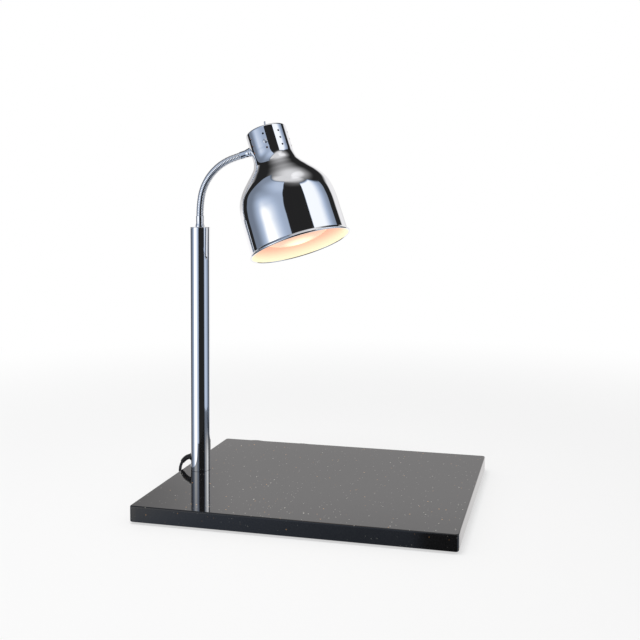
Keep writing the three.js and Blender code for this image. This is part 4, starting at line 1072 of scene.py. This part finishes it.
class LAMP_OT_base(bpy.types.Operator):
    """Builds the stone slab and its four rubber feet"""

    bl_idname = "lamp.base"
    bl_label = "Stone Base"
    bl_options = {"REGISTER", "UNDO"}

    def execute(self, context):
        edge, fine = context.scene.heat_lamp_sizes.edge_round, 0.4 * MM
        top, bottom = SLAB_TOP, SLAB_LOW[2]
        hole, recess, roof = 5.5 * MM, 21 * MM, bottom + 12 * MM
        place, normal = slab_columns()
        from_post = on_circle(np.arctan2(*(place - POST_AXIS[:2])[:, ::-1].T))

        def circle(radius, z):
            return joined(*(POST_AXIS[:2] + radius * from_post).T, z)

        def outline(inset, z):
            return joined(*(place - inset * normal).T, z)

        bend = np.linspace(0, math.pi / 2, 9)
        upper = [outline(edge * (1 - math.sin(a)), top - edge * (1 - math.cos(a))) for a in bend]
        lower = [outline(edge * (1 - math.cos(a)), bottom + edge * (1 - math.sin(a))) for a in bend]
        loops = [
            circle(hole, top), outline(edge + fine, top), *upper, outline(0, top - edge - fine),
            outline(0, bottom + edge + fine), *lower, outline(edge + fine, bottom),
            circle(recess + fine, bottom), circle(recess, bottom + fine), circle(recess, roof),
            circle(hole, roof),
        ]
        slab = grid(np.array(loops), wrap_rows=True)
        make("stone_slab", [slab], "stone", "base", ["base_slab"], 40)
        for node in ("foot_front_left", "foot_back_left", "foot_front_right", "foot_back_right"):
            self.foot(node)
        return {"FINISHED"}

    def foot(self, node):
        """A turned pad with rounded edges and two grooves moulded into its sole."""
        start, end = low(node), high(node)
        matrix = frame_of((start + end) / 2 * (1, 1, 0), UPRIGHT_X, UPRIGHT_Y, UPRIGHT_Z)
        radius, height = (end - start)[0] / 2, end[2]
        flat, top, ease = 11 * MM, radius - 1 * MM, 0.9 * MM
        sole = grooves((5 * MM, 9 * MM), 0.9 * MM, 0.6 * MM, 0.4 * MM)
        edges = rounded([(flat, 0), (radius, 0), (radius, height), (top, height)], ease)
        profile = [(0, 0), *sole, *edges, (0, height)]
        make(node + "_pad", [lathe(profile, matrix, 72)], "rubber", "base", [node], 40)


class LAMP_OT_post(bpy.types.Operator):
    """Builds the chromed post, its cap and the arm's two ferrules"""

    bl_idname = "lamp.post"
    bl_label = "Post and Ferrules"
    bl_options = {"REGISTER", "UNDO"}

    def execute(self, context):
        start, end = low("post_tube")[2], high("post_tube")[2]
        wall, pitch, bore, clear = 1.5 * MM, 1.1 * MM, 4.9 * MM, 8 * MM
        block = LEAD_HEIGHT + pitch * np.arange(-8, 9)
        heights = np.concatenate([[start], block, np.linspace(block[-1] + clear, end, 12)])
        outer = joined(POST_RADIUS, heights)
        beside = math.asin(LEAD_FALL_SHARES[1, 1] * LEAD_SETTLE / POST_RADIUS)
        hole = (math.pi - beside, LEAD_HEIGHT, bore, 6)
        patches, _ = pierced(outer, outer - (wall, 0), 96, [hole], POST_FRAME)
        make("post_shell", patches, "chrome", "base", ["post_tube"])
        self.cap()
        lower = frame_of((*POST_AXIS[:2], POST_TOP + FIT_GAP), ARM_OUT, ARM_SIDE, UPRIGHT_Z)
        self.ferrule("lower_ferrule", lower, FERRULE_LENGTH, LOWER_STEM, "arm_1")
        away = NECK_ENTRY - UPPER_FERRULE_GAP * ALONG_FERRULE
        upper = frame_of(away, HEAD_UP, HEAD_SIDE, -ALONG_FERRULE)
        length, stem = FERRULE_LENGTH - UPPER_FERRULE_GAP, UPPER_STEM + UPPER_FERRULE_GAP
        self.ferrule("upper_ferrule", upper, length, stem, "arm_5")
        return {"FINISHED"}

    def cap(self):
        """A turned cap: a spigot in the tube, a rim of the post's own width, an eased edge."""
        seat, foot = high("post_tube")[2] + FIT_GAP, low("post_top_cap")[2]
        spigot, skirt, ease = POST_RADIUS - 1.8 * MM, 0.1 * MM, 0.6 * MM
        top = rounded(
            [(POST_RADIUS, seat + skirt), (POST_RADIUS, POST_TOP), (ARM_BORE, POST_TOP)], ease, 6
        )
        profile = [(ARM_BORE, foot), (spigot, foot), (spigot, seat), (POST_RADIUS, seat), *top]
        cap = lathe(profile, POST_FRAME, 128, loop=True)
        make("post_cap", [cap], "chrome", "base", ["post_top_cap"])

    def ferrule(self, node, matrix, length, stem, body):
        """A turned ferrule: threaded stem, flared foot, two fine grooves, a sleeve with a rolled
        mouth over the flexible tube, and a bore right through."""
        bore, shank, barrel, flare, socket = 3.5 * MM, 5 * MM, 6.8 * MM, 7.8 * MM, 6.2 * MM
        thread, pitch, plain, runout = 0.35 * MM, 1 * MM, 0.5 * MM, 0.6 * MM
        flare_top, cone_top, floor, roll = 2.2 * MM, 6 * MM, length - 11.3 * MM, 1.5 * MM
        turns = np.arange(plain, stem - runout, pitch / 2)
        threads = joined(shank - thread * (np.arange(len(turns)) % 2), turns - stem)
        foot = rounded([(shank, 0), (flare, 0), (flare, flare_top), (barrel, cone_top)], 0.5 * MM)
        ringed = grooves((7.4 * MM, 8.8 * MM), 0.35 * MM, 0.15 * MM, 0.25 * MM)
        mouth = rounded(
            [(barrel, length - roll), (barrel, length), (socket, length), (socket, floor)],
            0.35 * MM,
        )
        profile = [(bore, -stem), (shank - thread, -stem), *threads, *foot]
        profile += [(barrel - depth, height) for height, depth in ringed] + [*mouth, (bore, floor)]
        ferrule = lathe(profile, matrix, 96, loop=True)
        make(node + "_turned", [ferrule], "chrome", body, [node], 30)


# Flexible arm


def arm_places(distance):
    """Centres, tangents and cross directions of the arm's line at distances from the lower
    ferrule's mouth: two arcs and a straight end in the plane of ARM_OUT and Z."""
    first = np.clip(distance, 0, LEAN_LENGTH) / LEAN_RADIUS
    second = np.clip(distance - LEAN_LENGTH, 0, BOW_LENGTH) / BOW_RADIUS
    third = np.maximum(distance - LEAN_LENGTH - BOW_LENGTH, 0)
    heading = first + second
    out = (
        LEAN_RADIUS * (1 - np.cos(first))
        + BOW_RADIUS * (math.cos(LEAN_ANGLE) - np.cos(LEAN_ANGLE + second))
        + third * np.sin(heading)
    )
    up = (
        FERRULE_LENGTH + LEAN_RADIUS * np.sin(first) + np.minimum(distance, 0)
        + BOW_RADIUS * (np.sin(LEAN_ANGLE + second) - math.sin(LEAN_ANGLE))
        + third * np.cos(heading)
    )
    foot = np.array([*POST_AXIS[:2], POST_TOP])
    centre = foot + out[:, None] * ARM_OUT + up[:, None] * UPRIGHT_Z
    tangent = np.sin(heading)[:, None] * ARM_OUT + np.cos(heading)[:, None] * UPRIGHT_Z
    return centre, tangent, np.broadcast_to(ARM_SIDE, tangent.shape)


class LAMP_OT_arm(bpy.types.Operator):
    """Builds the flexible arm as four stretches of spirally ribbed tube, one over each hinge"""

    bl_idname = "lamp.arm"
    bl_label = "Flexible Arm"
    bl_options = {"REGISTER", "UNDO"}

    def execute(self, context):
        count = FLEX_PIECES - 1
        cuts = (np.arange(count + 1) + 0.5) * FLEX_STEP
        cuts[0], cuts[-1] = -FLEX_SEATED, FLEX_LENGTH + FLEX_SEATED
        for k in range(count):
            stands_for = ["flex_4", "flex_5"] if k == count - 1 else [f"flex_{k + 1}"]
            tube = self.ribbed(cuts[k], cuts[k + 1], context.scene.heat_lamp_sizes)
            piece = make(f"ribbed_tube_{k + 1}", [tube], "ribbed", None, stands_for, 80)
            knuckle = (k + 1) * FLEX_STEP
            (start, end), _, _ = arm_places(knuckle + HINGE_REACH * np.array([-1, 1]))
            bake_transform(piece)
            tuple(start)
            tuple(end)
        return {"FINISHED"}

    def ribbed(self, start, end, sizes):
        """A tube with one rounded rib wound round it: radius = core + depth |sin(pi (d / pitch -
        a / 2 pi))| ^ 0.7, the rib fading out inside both ferrules; and a plain bore."""
        angle, fade_start, fade_end = around(48), 0.2 * MM, 1 * MM
        steps = round((end - start) / sizes.rib_pitch * 12)
        outer = np.linspace(start, end, steps + 1)
        inner = np.linspace(end, start, 12)
        phase = outer[:, None] / sizes.rib_pitch - angle[None] / (2 * math.pi)
        shown = smoothstep(np.minimum(outer, FLEX_LENGTH - outer), fade_start, fade_end)
        rib = sizes.rib_depth * np.abs(np.sin(math.pi * phase)) ** 0.7 * shown[:, None]
        radii = np.concatenate([FLEX_CORE + rib, np.full((len(inner), len(angle)), FLEX_BORE)])
        places = arm_places(np.concatenate([outer, inner]))
        return grid(rings(places, radii, angle), wrap_rows=True)


# Shade and what is fixed to its neck


def inside_of(profile, wall):
    """The profile moved sideways by the wall, square to its own direction."""
    step = unit(np.gradient(profile, axis=0))
    return profile + wall * joined(step[:, 1], -step[:, 0])


def bell_profile(heights):
    """Radius of the bell at heights: a curve through shares of its height and flare."""
    bell, flare = SHADE_HEIGHT - NECK_LENGTH, SKIRT_RADIUS - NECK_RADIUS
    up, out = BELL_SHARES.T
    curve = spline(joined(NECK_RADIUS + out * flare, RIM + up * bell), 24)
    return np.interp(heights, curve[:, 1], curve[:, 0])


class LAMP_OT_shade(bpy.types.Operator):
    """Builds the spun shade with its vents and rolled rim, and the collar on its neck"""

    bl_idname = "lamp.shade"
    bl_label = "Shade"
    bl_options = {"REGISTER", "UNDO"}

    def execute(self, context):
        pitch, columns, land = VENT_PITCH / VENT_ROWS, 192, 0.6 * MM
        block = pitch * np.arange(14, -15, -1)
        skirt_end = RIM + BELL_SHARES[0, 0] * (SHADE_HEIGHT - NECK_LENGTH)
        heights = np.concatenate([block, np.linspace(block[-1] - pitch, skirt_end, 110)])
        side = joined(bell_profile(heights), heights)
        corner = CROWN - CROWN_EDGE
        bend, roll = np.linspace(math.pi / 2, 0, 10), np.radians(np.linspace(75, -165, 17))
        shoulder = CROWN_EDGE * on_circle(bend) + (NECK_RADIUS - CROWN_EDGE, corner)
        bead = BEAD_RADIUS * on_circle(roll)
        bead += (SKIRT_RADIUS + BEAD_REACH - BEAD_RADIUS, RIM + BEAD_RADIUS)
        flat = joined([BUSH_HOLE, NECK_RADIUS / 2, NECK_RADIUS - 1.2 * CROWN_EDGE], CROWN)
        upper = [(NECK_RADIUS, corner - land), (NECK_RADIUS, block[0] + pitch)]
        wall = np.concatenate([flat, shoulder, upper, side])
        outer, inner = np.concatenate([wall, bead]), inside_of(wall, WALL)
        patches, faces = pierced(outer, inner, columns, self.holes(), HEAD_FRAME, (0, 1))
        make("shade_shell", patches, ["chrome", "lining"], "head", ["shade"], 32, faces)
        self.collar()
        return {"FINISHED"}

    def holes(self):
        """Vents in three rows, the screws' holes between them at both sides, and the arm's. Places
        count eighths of a turn from the front."""
        eighth = math.pi / 4
        arm, vent, screw = (ARM_BORE, 6), (VENT_RADIUS, 2), (SCREW_HOLE, 3)
        found = [(4 * eighth, 0, *arm)]
        for row in (-1, 0, 1):
            found += [(place * eighth, row * VENT_PITCH, *vent) for place in (0, 1, -1, 3, -3)]
        for place in (2, -2):
            found += [(place * eighth, row * VENT_PITCH, *vent) for row in (-1, 1)]
            found.append((place * eighth, -VENT_PITCH / VENT_ROWS, *screw))
        return found

    def collar(self):
        """A ring round the arm's stem: its inner face lies on the neck's cylinder, x = -sqrt(skin^2
        - y^2), its outer face is flat with an eased edge."""
        turn = around(96)
        skin, reach, thickness = NECK_RADIUS + FIT_GAP, 8.6 * MM, 2 * MM
        out, ease, fall = skin + thickness, 0.4 * MM, 0.03 * MM
        flat = np.array([(ARM_BORE, out), (reach - 2 * ease, out), (reach - ease, out - fall),
                         (reach - 0.3 * ease, out - 0.3 * ease), (reach, out - ease)])
        radius = np.concatenate([flat[:, 0], np.linspace(reach, ARM_BORE, 5)])[:, None]
        y, z = radius * np.cos(turn), radius * np.sin(turn)
        x = -np.sqrt(skin**2 - y**2)
        x[: len(flat)] = -flat[:, 1:]
        ring = grid(placed(joined(x, y, z), HEAD_FRAME), wrap_rows=True)
        make("neck_seat", [ring], "chrome", "head", ["neck_collar"])


class LAMP_OT_fixings(bpy.types.Operator):
    """Builds the bracket's two pan-head screws and the toggle switch's bush, nut and lever"""

    bl_idname = "lamp.fixings"
    bl_label = "Screws and Switch"
    bl_options = {"REGISTER", "UNDO"}

    def execute(self, context):
        for node, sign in (("bracket_screw_1", -1), ("bracket_screw_2", 1)):
            seat = np.array([0, sign * (NECK_RADIUS + FIT_GAP), SCREW_HEIGHT])
            outward = sign * HEAD_SIDE
            across = np.cross(HEAD_UP, outward)
            self.screw(node, frame_of(placed(seat, HEAD_FRAME), across, HEAD_UP, outward))
        self.bush()
        self.nut()
        self.lever()
        return {"FINISHED"}

    def screw(self, node, matrix):
        """A domed head, z = h (1 - 0.5 (r / R)^4), less a cross recess that fades with the
        distance from its two arms; a rounded edge, a shank and a flat end."""
        head, rise, shank, length = 3.6 * MM, 2.2 * MM, 2 * MM, 8 * MM
        chamfer, lip = 0.15 * MM, 0.1 * MM
        arm, arm_end, cross_end, depth = 0.45 * MM, 1.7 * MM, 2.3 * MM, 0.9 * MM
        turn = around(96)
        share = np.linspace(0, 0.985, 40)[:, None]
        x, y = share * head * np.cos(turn), share * head * np.sin(turn)
        narrow, far = np.minimum(np.abs(x), np.abs(y)), np.maximum(np.abs(x), np.abs(y))
        within = 1 - smoothstep(narrow, 0.7 * arm, 1.25 * arm)
        recess = within * (1 - smoothstep(far, arm_end, cross_end))
        dome = joined(x, y, rise * (1 - 0.5 * share**4) - depth * recess)
        rest = np.array([(head, 0.42 * rise), (head, lip), (head - chamfer, 0), (shank, 0),
                         (shank, -length), (0, -length)])
        below = turned(rest[:, :1], turn, rest[:, 1:])
        shape = grid(placed(np.concatenate([dome, below]), matrix))
        make(node + "_pan", [shape], "chrome", "head", [node], 40)

    def bush(self):
        """A threaded tube: the thread's radius zigzags up it."""
        crest, root, bore, pitch = 3 * MM, 2.75 * MM, 2.4 * MM, 0.25 * MM
        plain, runout, chamfer, narrowing = 0.2 * MM, 0.5 * MM, 0.3 * MM, 0.12 * MM
        start, top = CROWN - WALL - FIT_GAP, CROWN + 5.2 * MM
        heights = np.arange(start + plain, top - runout, pitch)
        thread = joined(np.where(np.arange(len(heights)) % 2, crest, root), heights)
        profile = [(bore, start), (root, start), *thread, (root, top - chamfer),
                   (root - narrowing, top), (bore, top)]
        tube = lathe(profile, HEAD_FRAME, 64, loop=True)
        make("switch_thread", [tube], "chrome", "head", ["switch_bush"], 30)

    def nut(self):
        """A hexagon of radius flat / cos(angle from the flat's middle), each face cut by the
        chamfer's circle."""
        turn, sector = around(96), math.pi / 3
        flat, bore, base, height, fine = 4 * MM, 3.3 * MM, CROWN + FIT_GAP, 2 * MM, 0.12 * MM
        side = flat / np.cos((turn + sector / 2) % sector - sector / 2)
        cut, face = np.minimum(side, 1.04 * flat), 0.93 * flat
        drop = (side - cut) * 0.6
        rows = [(bore, 0), (bore, height), (face, height), (cut, height - fine),
                (side, height - 2 * fine - drop), (side, 2 * fine + drop), (cut, fine), (face, 0)]
        points = np.array([turned(radius, turn, base + z) for radius, z in rows])
        shape = grid(placed(points, HEAD_FRAME), wrap_rows=True)
        make("switch_ring_nut", [shape], "chrome", "head", ["switch_nut"], 28)

    def lever(self):
        """A ball in the bush, a bat that widens to its domed tip."""
        root, tip, ball, length = 1.15 * MM, 1.55 * MM, 2 * MM, 14.5 * MM
        upright = math.cos(LEVER_TILT) * HEAD_UP + math.sin(LEVER_TILT) * ALONG_FERRULE
        matrix = frame_of(TOGGLE_PIVOT, np.cross(HEAD_SIDE, upright), HEAD_SIDE, upright)
        lower = ball * on_circle(np.linspace(-math.pi / 2, math.acos(root / ball), 14))
        upper = tip * on_circle(np.linspace(0, math.pi / 2, 9)) + (0, length - tip)
        widths = ((0, 3 * MM), (0.1, 6 * MM), (0.6, 9.5 * MM))
        bat = [(root + share * (tip - root), height) for share, height in widths]
        lever = lathe([*lower, *bat, *upper], matrix, 48)
        make("switch_bat", [lever], "chrome", "toggle", ["switch_lever"], 30)


class LAMP_OT_bulb(bpy.types.Operator):
    """Builds the reflector bulb's glass: a blown shell on a curve through shares of its height and
    radius, up to a straight neck, and the same curve one glass thickness inside"""

    bl_idname = "lamp.bulb"
    bl_label = "Bulb"
    bl_options = {"REGISTER", "UNDO"}

    def execute(self, context):
        face, cap_bottom, glass_top, glass = RIM + 6 * MM, -34.4 * MM, -28.4 * MM, 1 * MM
        up, out = BULB_SHARES.T
        curve = spline(joined(out * BULB_RADIUS, face + up * (cap_bottom - face)), 8)
        outer = np.array([*curve, (BULB_NECK, cap_bottom - FIT_GAP), (BULB_NECK, glass_top)])
        inner = inside_of(outer, -glass)
        inner[0, 0] = 0
        inner[-1, 1] = glass_top
        shell = lathe([*outer, *inner[::-1]], HEAD_FRAME, 128)
        make("bulb_envelope", [shell], "bulb_glass", "head", ["bulb_glass"], 40)
        return {"FINISHED"}


class LAMP_OT_finishes(bpy.types.Operator):
    """Gives the pieces of the frame that stay as they are their finishes"""

    bl_idname = "lamp.finishes"
    bl_label = "Other Finishes"
    bl_options = {"REGISTER", "UNDO"}

    def execute(self, context):
        slots = {part["node"]: part["material_slot"] for part in frame["record"]["subparts"]}
        for node, piece in frame["nodes"].items():
            if not piece.hide_render:
                for held in piece.material_slots:
                    held.material = finishes()[slots[node]]
        return {"FINISHED"}


# Stage


def left_box(azimuth, height):
    """Strength of the left softbox: fuller towards the front, with a glow low in its middle, and
    dimmer at its foot."""
    from_middle = (azimuth - LEFT_MIDDLE).math("ABSOLUTE")
    level = (0.26 + 0.30 * azimuth.step(-85, -20)) * (1 + 0.3 * height.step(28, 45))
    for glow, aside, above in ((0.55, (6, 40), (4, 30)), (0.5, (2, 20), (0, 14))):
        level = level + glow * (1 - from_middle.step(*aside)) * (1 - height.step(*above))
    level = level * azimuth.between(*LEFT_BOX, 1) * (1 - height.step(BOX_TOP, BOX_TOP + 4))
    return level * (0.55 + 0.45 * height.step(-32, -24))


def right_box(azimuth, height):
    """Strength of the right softbox: its top slopes down away from the front, where it fades."""
    slope = (azimuth - 94).math("MAXIMUM", 0) * RIGHT_SLOPE
    level = azimuth.between(*RIGHT_BOX, 1) * (1 - (height + slope).step(BOX_TOP - 2, BOX_TOP + 2))
    return level * (0.38 + 0.72 * (1 - azimuth.step(88, 128))) * height.step(*FOOT_TOP)


def right_foot(azimuth, height):
    """Strength of what stands under the right softbox, with a bright strip across it."""
    level = azimuth.between(*RIGHT_FOOT, 7) * (0.33 + 0.4 * (1 - azimuth.step(95, 112)))
    strip = 0.9 * azimuth.between(80, 102, 4) + 2.6 * azimuth.between(102, 126, 4)
    return (level + strip * height.between(3, 12, 2)) * (1 - height.step(*FOOT_TOP))


def backdrop(azimuth, height):
    """Strength of the white behind the lamp: a little dimmer at its foot and on the left."""
    start, end = BACKDROP
    level = azimuth.step(start - 3, start + 3) + (1 - azimuth.step(end - 2, end + 2))
    level = level * (1 - height.step(22, 32))
    level = level * (1 - 0.26 * height.step(-6, 0) + 0.16 * height.step(1, 9))
    return level * (1 - 0.38 * azimuth.between(-150, -80, 6) * height.step(2, 6))


def ceiling(azimuth, height):
    """Strength of the ceiling: it comes lower at the front and is brighter on the right."""
    ahead = 1 - azimuth.math("ABSOLUTE").step(60, 110)
    level = (0.75 * height.step(48, 84)).math("MAXIMUM", 0.72 * ahead * height.step(54, 64))
    return level + 0.25 * azimuth.between(30, 165, 15) * height.between(68, 88, 4)


def tent_light():
    """What polished metal shows of the studio. The strengths were chosen to give the bands of the
    real chrome: a weak softbox is cool, a strong one and the backdrop are white."""
    made, s = material("tent_light")
    part = s.parts(s.place())
    azimuth = part["X"].math("ARCTAN2", -part["Y"]) * (180 / math.pi)
    height = ((part["Z"] - TENT_HEIGHT) / TENT_RADIUS).math("ARCSINE") * (180 / math.pi)
    boxes = left_box(azimuth, height) + right_box(azimuth, height) + right_foot(azimuth, height)
    tint = s.blend(boxes.step(0.6, 1.25), COOL_WHITE, (1, 1, 1))
    tint = s.blend(boxes.step(0, 0.05), WARM_WHITE, tint)
    white = backdrop(azimuth, height).math("MAXIMUM", ceiling(azimuth, height))
    level = TENT_DARK + boxes.math("MAXIMUM", white)
    light = s.node("ShaderNodeEmission", {}, {"Color": tint, "Strength": level})
    s.node("ShaderNodeOutputMaterial", {}, {"Surface": light["Emission"]})
    return made


class LAMP_OT_stage(bpy.types.Operator):
    """Adds a pale floor, a white surround, a soft lamp and the studio seen in the chrome"""

    bl_idname = "lamp.stage"
    bl_label = "Stage"
    bl_options = {"REGISTER", "UNDO"}

    def execute(self, context):
        scene = context.scene
        scene.view_settings.view_transform = "Standard"
        self.floor(scene.heat_lamp_colours, scene.heat_lamp_sizes)
        self.surround(scene)
        self.tent()
        self.lamp(scene)
        return {"FINISHED"}

    def floor(self, colours, sizes):
        """A matt disc that goes over to the white of the surround away from the lamp."""
        made, s = material("pale_floor")
        away = s.from_axis(s.parts(s.place()))
        share = s.shown_white() * (FLOOR_LIFT + (1 - FLOOR_LIFT) * away.step(*FLOOR_FADE))
        matt = s.node(
            "ShaderNodeBsdfPrincipled", {}, {"Base Color": colours.floor, "Roughness": 0.9}
        )["BSDF"]
        white = s.node("ShaderNodeEmission", {}, {"Color": (1, 1, 1), "Strength": 1.0})["Emission"]
        both = s.node("ShaderNodeMixShader", {}, {0: share, 1: matt, 2: white})["Shader"]
        s.node("ShaderNodeOutputMaterial", {}, {"Surface": both})
        rows = [(0, 0), (FLOOR_FADE[0], 0), (sizes.floor_radius, 0)]
        disc = mesh_object("floor", [lathe(rows, np.eye(4))], [made])
        disc.visible_glossy = False
        disc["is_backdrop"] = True

    def surround(self, scene):
        """White to look at and in reflections, softer as a light."""
        scene.world = bpy.data.worlds.new("surround")
        s = Shader(scene.world)
        strength = WORLD_LIGHT + (1 - WORLD_LIGHT) * s.shown_white()
        light = s.node("ShaderNodeBackground", {}, {"Color": (1, 1, 1), "Strength": strength})
        s.node("ShaderNodeOutputWorld", {}, {"Surface": light["Background"]})

    def tent(self):
        """A ball round the lamp that only reflections show: r = R cos e, z = h + R sin e."""
        profile = TENT_RADIUS * on_circle(np.linspace(-math.pi / 2, math.pi / 2, 65))
        ball = lathe(profile + (0, TENT_HEIGHT), np.eye(4), 128)
        studio = mesh_object("studio_tent", [ball], [tent_light()])
        studio.visible_camera = studio.visible_diffuse = studio.visible_shadow = False
        studio.visible_transmission = False
        studio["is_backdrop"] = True

    def lamp(self, scene):
        """A soft round lamp overhead, in front and to the left."""
        data = bpy.data.lights.new("soft_lamp", "AREA")
        data.shape = "DISK"
        data.size = LAMP_SIZE
        data.energy = LAMP_WATTS
        lamp = bpy.data.objects.new("soft_lamp", data)
        lamp.location = LAMP_PLACE
        lamp.visible_glossy = False
        scene.collection.objects.link(lamp)


OPERATORS = (
    LAMP_OT_camera, LAMP_OT_lead, LAMP_OT_base, LAMP_OT_post, LAMP_OT_arm, LAMP_OT_shade,
    LAMP_OT_fixings, LAMP_OT_bulb, LAMP_OT_finishes, LAMP_OT_stage,
)


class LAMP_PT_sidebar(bpy.types.Panel):
    """Lists the operators that build the lamp"""

    bl_label = "Heat Lamp"
    bl_idname = "LAMP_PT_sidebar"
    bl_space_type = "VIEW_3D"
    bl_region_type = "UI"
    bl_category = "Heat Lamp"

    def draw(self, context):
        column = self.layout.column()
        for operator in OPERATORS:
            column.operator(operator.bl_idname)
        for group in (context.scene.heat_lamp_sizes, context.scene.heat_lamp_colours):
            for name in group.__annotations__:
                column.prop(group, name)


CLASSES = (HeatLampSizes, HeatLampColours, *OPERATORS, LAMP_PT_sidebar)


def register():
    """Registers the classes, and the sizes and colours of a scene."""
    for item in CLASSES:
        bpy.utils.register_class(item)
    bpy.types.Scene.heat_lamp_sizes = PointerProperty(type=HeatLampSizes)
    bpy.types.Scene.heat_lamp_colours = PointerProperty(type=HeatLampColours)


def unregister():
    """Takes back what register did."""
    del bpy.types.Scene.heat_lamp_colours
    del bpy.types.Scene.heat_lamp_sizes
    for item in reversed(CLASSES):
        bpy.utils.unregister_class(item)


def plain(box):
    """A box as plain lists of numbers."""
    return [[float(x) for x in corner] for corner in box]


def main():
    """Builds the whole scene."""
    register()
    bpy.ops.lamp.camera()
    bpy.ops.lamp.lead()
    bpy.ops.lamp.base()
    bpy.ops.lamp.post()
    bpy.ops.lamp.arm()
    bpy.ops.lamp.shade()
    bpy.ops.lamp.fixings()
    bpy.ops.lamp.bulb()
    bpy.ops.lamp.finishes()
    bpy.ops.lamp.stage()
    {"cad": plain(CAD_BOX), "visual": plain(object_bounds())}


if __name__ == "__main__":
    main()
